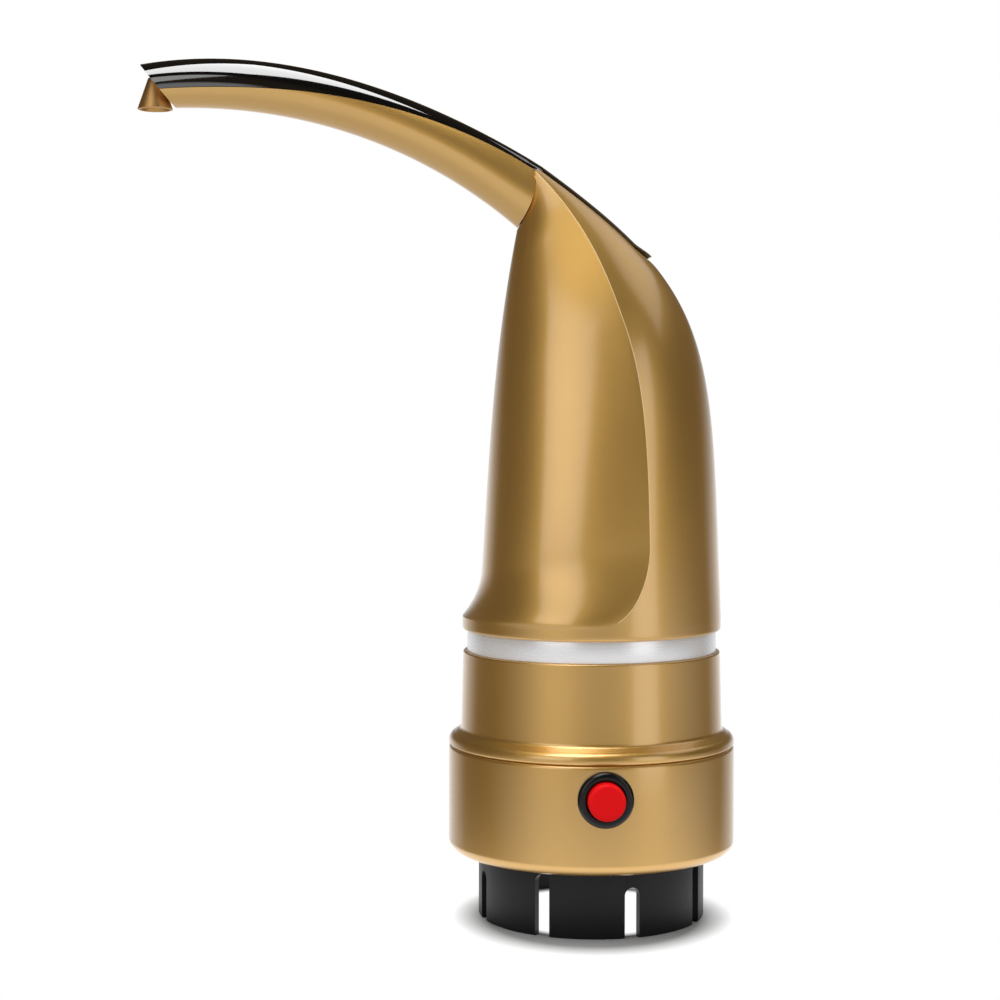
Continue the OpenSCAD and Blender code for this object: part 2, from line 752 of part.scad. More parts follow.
module charge_socket() {
    color(dark) on_pad(socket_turn) difference() {
        union() {
            disc(socket_barrel_r, socket_rear, 0);
            disc(socket_flange_r, 0, socket_flange_t);
        }
        disc(socket_bore_r, -socket_depth, socket_flange_t + 1);
        disc(socket_pin_r + hub_gap, socket_rear - 1, 0);
        translate([socket_side_x, 0, 0]) disc(terminal_r + hub_gap, socket_rear - 1, -socket_depth + 1);
    }
}

module socket_pins() {
    color(brass) on_pad(socket_turn) {
        disc(socket_pin_r, socket_end, socket_flange_t - 1);
        translate([socket_side_x, 0, 0]) disc(terminal_r, socket_end, -socket_depth + 2);
    }
}

module socket_nut() {
    color(steel) on_pad(socket_turn) pad_nut(nut_r - 0.5, socket_barrel_r + run);
}

// Deck, drum, trim ring and inner frame

module deck_plate() {
    color("#2f2f34") difference() {
        disc(r_flange, z_seam, z_deck);
        on_motor() deck_hole(motor_r + 2 * fit);
        translate([hose_x, mesh_y, 0]) deck_hole(hose_hole_r);
        translate(lead_hole) deck_hole(lead_hole_r);
        around(boss_turns, boss_pcr) {
            deck_hole(clear_r);
            disc(head_r + 0.25, z_deck - head_h, z_deck + 1);
        }
        around(pillar_turns, pillar_pcr) deck_hole(clear_r);
        at_places(leg_places) deck_hole(clear_r);
        at_places(mount_places) deck_hole(clear_r);
    }
}

module deck_hole(r) {
    disc(r, z_seam - 1, z_deck + 1);
}

module deck_screws() {
    color(steel) around(boss_turns, boss_pcr) translate([0, 0, z_deck - head_h]) screw_down(screw_bite);
}

module drum_shell() {
    color(gold) rotate_extrude() polygon(concat([[r_base_in, z_seam]],
        arc([r_base - seam_round, z_seam + seam_round], seam_round, -90, 0, 4),
        arc([r_base - 2, z_seam + flare_round], 2, 0, 75, 6),
        arc([r_drum + flare_round, z_seam + flare_h], flare_round, 255, 180, 5),
        [[r_drum_top, z_drum - edge_cut], [r_drum_top - edge_cut, z_drum], [r_rim_in, z_drum],
        [r_rim_in, z_deck + fit], [r_base_in, z_deck + fit]]));
}

module trim_ring() {
    color("#d9dade") rotate_extrude() polygon([[r_rim_in, z_drum], [r_trim - trim_cut, z_drum],
        [r_trim, z_drum + trim_cut], [r_trim, z_trim - trim_cut], [r_trim - trim_cut, z_trim],
        [r_rim_in, z_trim]]);
}

module inner_frame() {
    z_top = z_ledge - 0.4;
    color("#34343a") difference() {
        union() {
            tube(r_frame, r_frame - frame_wall, z_drum - 6, z_top);
            around(pillar_turns, pillar_pcr) disc(pillar_r, z_deck, z_top);
        }
        around(pillar_turns, pillar_pcr) disc(pilot_r, z_deck - 1, z_deck + pillar_bite + 1);
    }
}

module frame_screws() {
    color(steel) around(pillar_turns, pillar_pcr) translate([0, 0, z_seam]) screw(deck_t + pillar_bite);
}

// Upper housing

function cove(h) = 1 - pow(1 - max(0, min(1, h / cove_h)), 2);
function spine_cut(t) = strip_t * ease((t - strip_start) / strip_ease);
function housing_wall(t) = mix(shell_wall, throat_wall, ease((t - wall_bend) / (1 - wall_bend)));

function swell(x, n) = sign(x) * pow(abs(x), n);

// One closed section of the housing at t, from the ledge at 0 to the shoulder at 1, drawn in by a wall
function housing_row(t, wall) = let (
    low = bezier(front_rail, t), high = bezier(spine_rail, t), span = norm(high - low), h = low[1] - z_ledge,
    q = cove(h), half = bezier(half_law, t), a = back_share * span, c = span - a,
    bend = max(0, crease_round - max(0, h)),
    crease = (crease_share + crease_climb * pow(max(0, (t - crease_bend) / (1 - crease_bend)), 2)) * span
        - crease_round + sqrt(pow(crease_round, 2) - pow(bend, 2)),
    front = -panel_depth * (1 - q), mid = mix(c, crease - panel_shift * span, q), pa = mid - front,
    n = mix(2, panel_power, q), lean = (crease - mid) / pa, turn = acos((crease - c) / a),
    v = half * sqrt(1 - pow((crease - c) / a, 2)), pb = v / pow(1 - pow(abs(lean), n), 1 / n),
    swing = 90 + asin(swell(lean, n / 2)), top = span - spine_cut(t) - max(0, wall))
    concat(
        [for (i = [0:back_cols]) let (f = mix(-turn, turn, i / back_cols))
            section_point(low, high, min(c + (a - wall) * cos(f), top), (half - wall) * sin(f))],
        [for (i = [1:panel_cols - 1]) let (f = mix(swing, -swing, i / panel_cols))
            section_point(low, high, mid - (pa - wall) * swell(cos(f), 2 / n),
                (pb - wall) * swell(sin(f), 2 / n))]);

// A round row of the rim below the ledge, with its points in step with the sections above it
function rim_row(z, wall, back) = let (s = 1 - back / r_rim)
    [for (p = housing_row(0, wall)) [p[0] * s, p[1] * s, z]];

function housing_ts() = concat([for (i = [0:cove_rows]) cove_end * pow(i / cove_rows, 1.4)],
    [for (i = [1:housing_rows]) mix(cove_end, 1, i / housing_rows)]);

function housing_skin(outer) = concat(
    [for (e = rim_edge) rim_row(z_trim + e[0], outer ? 0 : shell_wall, outer ? e[1] : 0)],
    [for (t = housing_ts()) housing_row(t, outer ? 0 : housing_wall(t))]);

module upper_housing() {
    color(gold) shell(housing_skin(true), housing_skin(false), true);
}

// Spout

function share(s) = mix(cover_share[0], cover_share[1], ease((s - cover_lead) / cover_run));
function spout_half(s) = mix(spout_w, tip_w, s) / 2;

// A point of the spout's section at s, at an angle from its crown, drawn in by a wall
function spout_point(s, angle, wall) = let (
    low = bezier(belly_rail, s), high = bezier(crown_rail, s), a = norm(high - low) / 2)
    section_point(low, high, a + (a - wall) * cos(angle), (spout_half(s) - wall) * sin(angle));
function split_angle(s, gap) = let (span = norm(bezier(crown_rail, s) - bezier(belly_rail, s)))
    acos(1 - 2 * (share(s) + gap / span));

function trough_row(s, wall) = let (k = split_angle(s, strip_gap))
    [for (i = [0:spout_cols]) spout_point(s, mix(k, 360 - k, i / spout_cols), wall)];

// The lower shell of the spout, with a tenon that reaches into the housing
module spout_shell() {
    stations = [for (i = [0:spout_rows]) i / spout_rows];
    tenon = [-tenon_reach, -0.002];
    color(gold) shell(
        concat([for (s = tenon) trough_row(s, tenon_in)], [for (s = stations) trough_row(s, 0)]),
        concat([for (s = tenon) trough_row(s, tenon_in + tenon_wall)],
            [for (s = stations) trough_row(s, spout_wall)]), false);
}

// The cover's rows: first along the housing's spine, where its tail stands proud, then along the spout
function tail_rise(t) = tail_lift * (1 - ease((t - strip_start - strip_ease / 2) / tail_run));
function strip_row(t, under) = let (
    low = bezier(front_rail, t), high = bezier(spine_rail, t), span = norm(high - low),
    half = bezier(half_law, t), a = back_share * span, c = span - a, cut = spine_cut(t) - strip_gap,
    floor = span - cut - strip_gap / 2, k = acos(1 - cut / a), w = under ? strip_inset : 0)
    [for (i = [0:cover_cols]) let (f = mix(-k, k, i / cover_cols))
        section_point(low, high, under ? floor : c + a * cos(f) + tail_rise(t), (half - w) * sin(f))];

function cover_row(s, under) = let (
    low = bezier(belly_rail, s), high = bezier(crown_rail, s), span = norm(high - low), a = span / 2,
    k = split_angle(s, 0), split = span * (1 - share(s)), w = under ? spout_wall : 0)
    [for (i = [0:cover_cols]) let (f = mix(-k, k, i / cover_cols))
        section_point(low, high, max(a + (a - w) * cos(f), split), (spout_half(s) - w) * sin(f))];

module spout_cover() {
    spine = [for (i = [0:strip_rows]) mix(strip_start + strip_ease / 2, strip_end, i / strip_rows)];
    stations = [for (i = [0:spout_rows]) mix(0.03, 1, i / spout_rows)];
    color("#17171a") shell(
        concat([for (t = spine) strip_row(t, false)], [for (s = stations) cover_row(s, false)]),
        concat([for (t = spine) strip_row(t, true)], [for (s = stations) cover_row(s, true)]), false);
}

module tip_plate() {
    color(gold) difference() {
        loft([for (s = tip_span) [for (j = [0:tip_sides - 1])
            spout_point(s, 360 * j / tip_sides, spout_wall + tip_gap)]]);
        nozzle_cone(end_gap);
        nozzle_arm(spigot_r + end_gap);
    }
}

module nozzle_cone(gap) {
    translate([nozzle_x, 0, z_nozzle])
        cylinder(r1 = nozzle_d / 2 + gap, r2 = nozzle_top_r + gap, h = nozzle_h);
}

module nozzle_arm(r) {
    translate([nozzle_x + 1, 0, z_nozzle_spigot]) rotate([0, 90, 0])
        cylinder(r = r, h = nozzle_spigot_x - nozzle_x - 1);
}

module nozzle() {
    color(brass) difference() {
        union() {
            nozzle_cone(0);
            nozzle_arm(spigot_r);
        }
        translate([nozzle_x, 0, z_nozzle - 0.01])
            cylinder(r1 = nozzle_d / 2 - nozzle_wall, r2 = spigot_bore_r, h = nozzle_throat);
        translate([nozzle_x, 0, z_nozzle_spigot]) rotate([0, 90, 0])
            cylinder(r = spigot_bore_r, h = nozzle_spigot_x - nozzle_x + 1);
    }
}

// Gear pump

module at_inlet() {
    translate([-port_x, mesh_y, 0]) children();
}

module at_driven() {
    translate([0, driven_y, 0]) children();
}

module pump_outline() {
    rounded(-pump_half_w, pump_half_w, pump_low_y, pump_high_y, pump_screw_in);
}

module pump_chamber() {
    for (y = [motor_y, driven_y]) translate([0, y]) circle(r = gear_bore_r);
    for (x = [-port_x, port_x]) translate([x, mesh_y]) circle(r = port_r);
}

// Socket for the suction tube, pressed into a recess in the pump's cover
module inlet_socket() {
    color("#dcdcd6") at_inlet() difference() {
        union() {
            disc(inlet_boss_r, z_web, z_cover_low);
            disc(inlet_neck_r, z_cover_low - 1, z_cover_low + inlet_neck);
        }
        disc(inlet_r, z_web - 1, inlet_stop);
        disc(inlet_port_r, z_web, z_cover);
    }
}

module pump_cover() {
    color("#dcdcd6") difference() {
        translate([0, 0, z_cover_low]) linear_extrude(cover_t) pump_outline();
        at_inlet() {
            disc(inlet_neck_r + hub_gap, z_cover_low - 1, z_cover_low + inlet_neck + hub_gap);
            disc(inlet_port_r, z_cover_low, z_cover + 1);
        }
        at_places(pump_screw_places) disc(clear_r, z_cover_low - 1, z_cover + 1);
        at_driven() disc(pin_r + hub_gap, z_cover - pin_low - end_gap, z_cover + 1);
    }
}

module pump_gasket() {
    color("#3c3c40") translate([0, 0, z_cover]) linear_extrude(gasket_t) difference() {
        pump_outline();
        pump_chamber();
        for (p = pump_screw_places) translate(p) circle(r = clear_r);
    }
}

module pump_body() {
    color("#cfcfc8") difference() {
        union() {
            translate([0, 0, z_split]) linear_extrude(z_seam - z_split) pump_outline();
            translate([0, mesh_y, z_gear_mid]) rotate([0, 90, 0]) cylinder(r = spigot_r, h = spigot_x);
        }
        translate([0, 0, z_split - 1]) linear_extrude(z_roof - z_split + 1) pump_chamber();
        translate([port_x, mesh_y, z_gear_mid]) rotate([0, 90, 0]) cylinder(r = spigot_bore_r, h = spigot_x);
        on_motor() {
            disc(shaft_r + run, z_roof - 1, z_seal + 1);
            disc(seal_r + hub_gap, z_seal, z_pilot + 1);
            disc(pilot_boss_r + run, z_pilot, z_seam + 1);
        }
        at_driven() disc(pin_r + hub_gap, z_roof - 1, z_roof + pin_high + end_gap);
        at_places(pump_screw_places) disc(pilot_r, z_split - 1, z_split + pump_bite + 1);
        at_places(mount_places) disc(pilot_r, z_seam - mount_bite - 1, z_seam + 1);
    }
}

module pump_screws() {
    color(steel) at_places(pump_screw_places) translate([0, 0, z_cover_low])
        screw(cover_t + gasket_t + pump_bite);
}

module pump_mount_screws() {
    color(steel) at_places(mount_places) translate([0, 0, z_deck]) screw_down(deck_t + mount_bite);
}

// Gear outline: involute flanks above the base circle, straight ones below it
function involute(a) = tan(a) * 180 / PI - a;
function half_tooth(r, rb) = 90 / gear_teeth - backlash / 2 / gear_pitch_r * 180 / PI + involute(pressure)
    - involute(acos(min(1, rb / max(r, rb))));
function gear_points() = let (rb = gear_pitch_r * cos(pressure), n = flank_steps)
    [for (k = [0:gear_teeth - 1]) for (i = [-n - 1:n + 1]) let (
        r = abs(i) > n ? gear_root_r : mix(gear_tip_r, rb, abs(i) / n),
        a = 360 * k / gear_teeth + sign(i) * half_tooth(r, rb))
        if (i != 0) r * [cos(a), sin(a)]];

module pump_gear(bore) {
    translate([0, 0, z_cover + end_gap]) difference() {
        linear_extrude(gear_w) polygon(gear_points());
        translate([0, 0, -1]) cylinder(r = bore, h = gear_w + 2);
    }
}

module drive_gear() {
    color(cream) on_motor() rotate(90) pump_gear(shaft_r + hub_gap);
}

module driven_gear() {
    color(cream) at_driven() rotate(90 + 180 / gear_teeth) pump_gear(pin_r + run);
}

module gear_pin() {
    color(steel) at_driven() disc(pin_r, z_cover - pin_low, z_roof + pin_high);
}

module shaft_seal() {
    color("#2a2a2c") on_motor() tube(seal_r, shaft_r + run, z_seal, z_pilot);
}

// Motor

module on_motor() {
    translate([0, motor_y, 0]) children();
}

module motor_can() {
    color(steel) on_motor() {
        tube(motor_r, can_in, z_seam, z_can_top);
        tube(can_in + 0.2, bush_r + hub_gap, z_seam, z_seam + can_floor);
        tube(pilot_boss_r, bush_r + hub_gap, z_pilot + 0.2, z_seam + can_floor / 2);
    }
}

module motor_magnets() {
    color("#4a4a50") on_motor() for (a = [20, 200]) rotate(a) rotate_extrude(angle = 140)
        translate([can_in - magnet_t - end_gap, z_seam + magnet_end])
            square([magnet_t, motor_h - 2 * magnet_end]);
}

module motor_bushes() {
    color(brass) on_motor() {
        tube(bush_r, shaft_r + run, z_pilot + 0.3, z_seam + bush_up);
        tube(bush_r, shaft_r + run, z_can_top - endcap_lip, z_motor_top - 0.2);
    }
}

module motor_shaft() {
    color(steel) on_motor() disc(shaft_r, z_cover + 3 * end_gap, z_motor_top + 0.8);
}

module rotor_core() {
    color("#6d6f75") on_motor() difference() {
        tube(rotor_r, shaft_r + hub_gap, z_seam + rotor_end, z_can_top - rotor_end);
        for (a = [0, 120, 240]) rotate(a) translate([rotor_r / 2, -rotor_slot / 2, z_seam])
            cube([rotor_r, rotor_slot, motor_h]);
    }
}

module rotor_coils() {
    coil_levels = [z_seam + rotor_end - coil_t - end_gap, z_can_top - rotor_end + hub_gap];
    color(copper) on_motor() for (z = coil_levels) rotate_extrude() translate([shaft_r + coil_room, z])
            rounded(0, rotor_r - shaft_r - 2 * coil_room, 0, coil_t, 1);
}

module commutator() {
    color(copper) on_motor() tube(commutator_r, shaft_r + hub_gap, z_can_top - 3.2, z_can_top - 1.3);
}

module motor_brushes() {
    near = commutator_r + end_gap;
    color("#3a3a3a") on_motor() for (a = [0, 180]) rotate(a)
        translate([near, -brush_w / 2, z_can_top - endcap_lip - 2]) cube([brush_l, brush_w, 2]);
}

module motor_endcap() {
    color("#e4e2da") on_motor() difference() {
        union() {
            disc(motor_r, z_can_top, z_motor_top);
            disc(can_in - hub_gap, z_can_top - endcap_lip, z_can_top);
        }
        disc(bush_r + hub_gap, z_can_top - 2, z_motor_top + 1);
    }
}

module motor_terminals() {
    color(brass) on_motor() for (s = [-1, 1])
        translate([motor_tab_x, s * motor_tab_y - motor_tab[1] / 2, z_motor_top]) cube(motor_tab);
}

// Delivery hose

module delivery_hose() {
    path = smooth_route(hose_route, 2);
    color("#dfe6e8", 0.8) shell(tube_rings(path, hose_r, hose_sides, [0, 1, 0]),
        tube_rings(path, hose_bore / 2, hose_sides, [0, 1, 0]), true);
}

module hose_clips() {
    clip_places = [[pump_half_w + 2, mesh_y, z_gear_mid], [nozzle_spigot_x - 5.4, 0, z_nozzle_spigot]];
    color(steel) for (p = clip_places) translate(p) rotate([0, 90, 0])
        tube(hose_r + end_gap + clip_t, hose_r + end_gap, 0, clip_w);
}

// Battery and electronics

module at_cells() {
    for (s = [-1, 1]) translate([cell_x, s * cell_y, 0]) children();
}

module at_standoffs(x) {
    for (p = standoff_places) translate([x, p[0], z_board + p[1]]) rotate([0, 90, 0]) children();
}

module battery_holder() {
    color("#2b2b30") difference() {
        union() {
            translate([0, 0, z_plate]) linear_extrude(plate_t)
                rounded(plate_x[0], plate_x[1], -plate_half_w, plate_half_w, plate_round);
            at_cells() disc(cell_r + fit + cup_wall, z_tray - 0.5, z_tray + cup_h);
            translate([spine_x, -spine_half_w, z_tray - 0.5])
                cube([spine_t, 2 * spine_half_w, z_cap_plate + cap_plate_t - z_tray + 0.5]);
            translate([0, 0, z_cap_plate]) linear_extrude(cap_plate_t) {
                for (s = [-1, 1]) translate([cell_x, s * cell_y]) circle(r = cell_r - 0.8);
                translate([cell_x, -spine_half_w]) square([spine_x + spine_t - cell_x, 2 * spine_half_w]);
            }
            at_places(leg_places) disc(leg_r, z_deck, z_plate + 0.5);
            on_motor() tube(post_r[0], post_r[1], z_motor_top, z_plate + 0.5);
            at_standoffs(spine_x + 1) cylinder(r = standoff_r, h = spine_t + board_gap - 1);
        }
        at_cells() disc(cell_r + fit, z_tray, z_tray + cup_h + 1);
        translate([cell_x - tab_w[0] / 2 - fit, -cell_y, z_tray])
            cube([tab_w[0] + 2 * fit, 2 * cell_y, tab_t + 2 * tab_gap]);
        at_places(leg_places) disc(pilot_r, z_deck - 1, z_deck + leg_bite + 2);
        translate([plate_slot[0][0], plate_slot[0][1], z_plate - 1])
            cube([plate_slot[1][0], plate_slot[1][1], plate_t + 2]);
        at_standoffs(spine_x + 0.5) cylinder(r = board_screw_r + run, h = spine_t + board_gap + 1);
    }
}

module holder_screws() {
    color(steel) at_places(leg_places) translate([0, 0, z_seam]) screw(deck_t + leg_bite);
}

module battery_cells() {
    color("#2f6fb0") at_cells() disc(cell_r, z_cell, z_cell_top);
}

module nickel_tabs() {
    color(steel) {
        translate([cell_x - tab_w[0] / 2, -cell_y - 4, z_tray + tab_gap])
            cube([tab_w[0], 2 * cell_y + 8, tab_t]);
        at_cells() translate([-tab_w[0] / 2, -tab_w[1] / 2, z_cell_top + tab_gap])
            cube([tab_l, tab_w[1], tab_t]);
    }
}

module control_board() {
    color("#1f6b3a") difference() {
        translate([board_x, -board_w / 2, z_board]) cube([board_t, board_w, board_h]);
        at_standoffs(board_x - 1) cylinder(r = board_screw_r + fit, h = board_t + 2);
    }
}

module board_parts() {
    color("#303030") translate([board_x + board_t, 0, z_board]) {
        for (c = chips) translate([0, c[0][0], c[0][1]]) cube(c[1]);
        translate([0, capacitor_place[0], capacitor_place[1]]) rotate([0, 90, 0])
            cylinder(r = capacitor_r, h = capacitor_h);
    }
}

module board_screws() {
    color(steel) at_standoffs(board_x + board_t) {
        disc(board_head_r, 0, 1);
        disc(board_screw_r, -board_screw_l, 0);
    }
}

module switch_leads() {
    color("#c03028") for (r = switch_routes) lead(r);
}

module socket_leads() {
    color("#303038") for (r = socket_routes) lead(r);
}

module motor_leads() {
    color("#2848a0") for (r = motor_routes) lead(r);
}

module battery_leads() {
    color("#c03028") for (r = battery_routes) lead(r);
}

bottle_collar();
neck_gasket();
collar_screws();
inlet_grommet();
base_ring();
switch_body();
switch_nut();
switch_base();
switch_terminals();
button_cap();
contact_bridge();
button_spring();
charge_socket();
socket_pins();
socket_nut();
deck_plate();
deck_screws();
drum_shell();
trim_ring();
inner_frame();
frame_screws();
upper_housing();
spout_shell();
spout_cover();
tip_plate();
nozzle();
inlet_socket();
pump_cover();
pump_gasket();
pump_body();
pump_screws();
pump_mount_screws();
drive_gear();
driven_gear();
gear_pin();
shaft_seal();
motor_can();
motor_magnets();
motor_bushes();
motor_shaft();
rotor_core();
rotor_coils();
commutator();
motor_brushes();
motor_endcap();
motor_terminals();
delivery_hose();
hose_clips();
battery_holder();
holder_screws();
battery_cells();
nickel_tabs();
control_board();
board_parts();
board_screws();
switch_leads();
socket_leads();
motor_leads();
battery_leads();
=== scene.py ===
import math

import bmesh
import bpy
from mathutils import Matrix, Vector


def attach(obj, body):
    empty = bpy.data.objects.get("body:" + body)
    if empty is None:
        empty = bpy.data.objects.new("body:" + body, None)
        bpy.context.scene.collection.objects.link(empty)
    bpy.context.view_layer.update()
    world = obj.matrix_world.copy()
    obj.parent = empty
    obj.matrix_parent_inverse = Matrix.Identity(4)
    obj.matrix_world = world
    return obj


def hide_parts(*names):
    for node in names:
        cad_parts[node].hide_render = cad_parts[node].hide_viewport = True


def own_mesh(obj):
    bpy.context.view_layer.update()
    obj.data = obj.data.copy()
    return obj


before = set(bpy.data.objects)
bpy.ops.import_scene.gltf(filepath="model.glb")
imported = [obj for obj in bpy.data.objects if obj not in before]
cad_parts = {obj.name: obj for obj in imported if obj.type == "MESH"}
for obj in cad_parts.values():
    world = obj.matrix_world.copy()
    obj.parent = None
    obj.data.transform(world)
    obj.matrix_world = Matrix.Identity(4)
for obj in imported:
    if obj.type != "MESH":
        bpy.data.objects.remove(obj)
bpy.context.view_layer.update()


# Bottle collar: a skirt moulded in black ABS that is pushed over the bottle's neck. Slots let its
# fingers spring, and the flange on top is screwed up into the base ring. Sizes are in millimetres
# here and in the sections below.

MM = 0.001
NECK_R, COLLAR_R, FLANGE_R = 27.7, 30.0, 35.2
WEB_Z, FLANGE_Z = 22.0, 24.5
LIP, COLLAR_EDGE, COLLAR_CORNER, COLLAR_FILLET = 0.3, 0.5, 0.15, 0.4
GROOVE_IN, GROOVE_OUT, GROOVE_T = 20.8, NECK_R - 0.3, 1.4
SLOT_COUNT, SLOT_W, SLOT_TURN, SLOT_HEIGHTS = 8, 4.0, -27, (16.0, 13.0)
SCREW_TURNS, SCREW_RING, SCREW_HOLE_R = (45, 135, 225, 315), 32.6, 1.5
INLET, INLET_HOLE_R, VENT, VENT_R = (-5.0, 4.0), 8.0, (8.5, 14.72), 1.2
CORE_R = 1.0  # the turned web ends here, within the inlet's hole
OVER = 1.0  # how far a cutting tool reaches past what it cuts


def srgb(colour):
    """A hex colour as linear red, green, blue and alpha."""
    parts = [int(colour[i:i + 2], 16) / 255 for i in (1, 3, 5)]
    return (*[c / 12.92 if c <= 0.04045 else ((c + 0.055) / 1.055) ** 2.4 for c in parts], 1.0)


def add(tree, kind, inputs=None, **settings):
    """Adds a node with its settings, and sets or links its inputs by name or number."""
    made = tree.nodes.new(kind)
    for key, value in settings.items():
        setattr(made, key, value)
    for key, value in (inputs or {}).items():
        if isinstance(value, bpy.types.NodeSocket):
            tree.links.new(value, made.inputs[key])
        else:
            made.inputs[key].default_value = value
    return made


def surface(name, light, dark, drift_mm, grain_mm, rough, depth_mm, stretch=(1, 1, 1), **sockets):
    """A finish whose colour drifts slowly between two tones, with a fine grain in its gloss and its
    relief. Other shader sockets are given by name, with _ for a space."""
    material = bpy.data.materials.new(name)
    material.use_nodes = True
    tree = material.node_tree
    shader = tree.nodes["Principled BSDF"]
    for key, value in sockets.items():
        shader.inputs[key.replace("_", " ")].default_value = value
    place = add(tree, "ShaderNodeTexCoord")
    drift = add(tree, "ShaderNodeTexNoise", {"Vector": place.outputs["Object"], "Detail": 3.0,
                                             "Scale": 1 / (drift_mm * MM), "Roughness": 0.55})
    tone = add(tree, "ShaderNodeMixRGB", {"Fac": drift.outputs["Fac"], "Color1": srgb(light),
                                          "Color2": srgb(dark)})
    turn = add(tree, "ShaderNodeMapping", {"Vector": place.outputs["Object"], "Scale": stretch})
    grain = add(tree, "ShaderNodeTexNoise", {"Vector": turn.outputs["Vector"], "Detail": 4.0,
                                             "Scale": 1 / (grain_mm * MM), "Roughness": 0.6})
    gloss = add(tree, "ShaderNodeMapRange", {"Value": grain.outputs["Fac"], "From Min": 0.3,
                                             "From Max": 0.7, "To Min": rough[0],
                                             "To Max": rough[1]})
    relief = add(tree, "ShaderNodeBump", {"Height": grain.outputs["Fac"], "Strength": 0.6,
                                          "Distance": depth_mm * MM})
    tree.links.new(tone.outputs["Color"], shader.inputs["Base Color"])
    tree.links.new(gloss.outputs["Result"], shader.inputs["Roughness"])
    tree.links.new(relief.outputs["Normal"], shader.inputs["Normal"])
    return material


def arc(x, z, r, start, end, steps=12):
    """Points on an arc of an outline, from a start to an end angle in degrees."""
    turns = [math.radians(start + (end - start) * i / steps) for i in range(steps + 1)]
    return [(x + r * math.cos(a), z + r * math.sin(a)) for a in turns]


def turned(points, steps=192, closed=True):
    """A body turned about Z from an outline of (radius, height)."""
    bm = bmesh.new()
    line = [bm.verts.new((r * MM, 0, z * MM)) for r, z in points]
    edges = [bm.edges.new(pair) for pair in zip(line, line[1:])]
    if closed:
        edges.append(bm.edges.new((line[-1], line[0])))
    bmesh.ops.spin(bm, geom=line + edges, cent=(0, 0, 0), axis=(0, 0, 1), dvec=(0, 0, 0),
                   angle=math.tau, steps=steps, use_merge=True, use_duplicate=False)
    bmesh.ops.remove_doubles(bm, verts=bm.verts, dist=1e-7)
    bmesh.ops.recalc_face_normals(bm, faces=bm.faces)
    return bm


def rod(bm, r, low, high, place=Matrix(), sides=64):
    """Adds a capped cylinder along Z, from low to high."""
    at = place @ Matrix.Translation((0, 0, (low + high) / 2 * MM))
    bmesh.ops.create_cone(bm, cap_ends=True, segments=sides, radius1=r * MM, radius2=r * MM,
                          depth=(high - low) * MM, matrix=at)


def piece(name, bm, finish, body, nodes, crease=32, cutter=None):
    """Puts a finished mesh into the scene in place of its CAD nodes, after taking the cutter out of
    it. Edges sharper than the crease angle stay sharp."""
    mesh = bpy.data.meshes.new(name)
    bm.to_mesh(mesh)
    bm.free()
    made = bpy.data.objects.new(name, mesh)
    bpy.context.scene.collection.objects.link(made)
    if cutter is not None:
        tool_mesh = bpy.data.meshes.new(name + "_cut")
        cutter.to_mesh(tool_mesh)
        cutter.free()
        tool = bpy.data.objects.new(name + "_cut", tool_mesh)
        bpy.context.scene.collection.objects.link(tool)
        cut = made.modifiers.new("cut", "BOOLEAN")
        cut.operation, cut.object, cut.solver = "DIFFERENCE", tool, "EXACT"
        graph = bpy.context.evaluated_depsgraph_get()
        done = bpy.data.meshes.new_from_object(made.evaluated_get(graph))
        made.modifiers.clear()
        made.data = done
        bpy.data.objects.remove(tool)
        bpy.data.meshes.remove(mesh)
        mesh = done
        mesh.name = name
        mesh.materials.clear()
    mesh.shade_smooth()
    mesh.set_sharp_from_angle(angle=math.radians(crease))
    mesh.materials.append(finish)
    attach(made, body)
    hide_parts(*nodes)
    return made


def dress(nodes, finish):
    """Gives CAD nodes that keep their own shape a finish."""
    for name in nodes:
        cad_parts[name].data.materials.clear()
        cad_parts[name].data.materials.append(finish)


# Black ABS, moulded in a tool with a finely eroded face: dark, with a soft sheen that breaks up a
# little. The real texture is about 0.1 mm and is drawn at 0.5 mm, so that it shows.
black_abs = surface("black_abs", "#0c0c0e", "#09090b", 30, 0.5, (0.4, 0.5), 0.012, IOR=1.53,
                    Specular_IOR_Level=0.25)

collar = turned([(NECK_R, LIP), (NECK_R + LIP, 0), (COLLAR_R - COLLAR_EDGE, 0),
                 (COLLAR_R - COLLAR_CORNER, COLLAR_CORNER), (COLLAR_R, COLLAR_EDGE),
                 (COLLAR_R, WEB_Z - COLLAR_FILLET), (COLLAR_R + COLLAR_FILLET, WEB_Z),
                 (FLANGE_R, WEB_Z), (FLANGE_R, FLANGE_Z), (CORE_R, FLANGE_Z), (CORE_R, WEB_Z),
                 (GROOVE_IN, WEB_Z), (GROOVE_IN, WEB_Z + GROOVE_T), (GROOVE_OUT, WEB_Z + GROOVE_T),
                 (GROOVE_OUT, WEB_Z), (NECK_R, WEB_Z)])
cutter = bmesh.new()
for i in range(SLOT_COUNT):
    outline = ([(-SLOT_W / 2, -OVER), (SLOT_W / 2, -OVER)]
               + arc(0, SLOT_HEIGHTS[i % 2] - SLOT_W / 2, SLOT_W / 2, 0, 180, 16))
    near = [cutter.verts.new((x * MM, (OVER - NECK_R) * MM, z * MM)) for x, z in outline]
    face = cutter.faces.new(near)
    made = bmesh.ops.extrude_face_region(cutter, geom=[face], use_keep_orig=True)["geom"]
    far = [g for g in made if isinstance(g, bmesh.types.BMVert)]
    bmesh.ops.translate(cutter, vec=(0, (NECK_R - COLLAR_R - 2 * OVER) * MM, 0), verts=far)
    bmesh.ops.rotate(cutter, cent=(0, 0, 0), verts=near + far,
                     matrix=Matrix.Rotation(math.radians(SLOT_TURN + 360 / SLOT_COUNT * i), 3, "Z"))
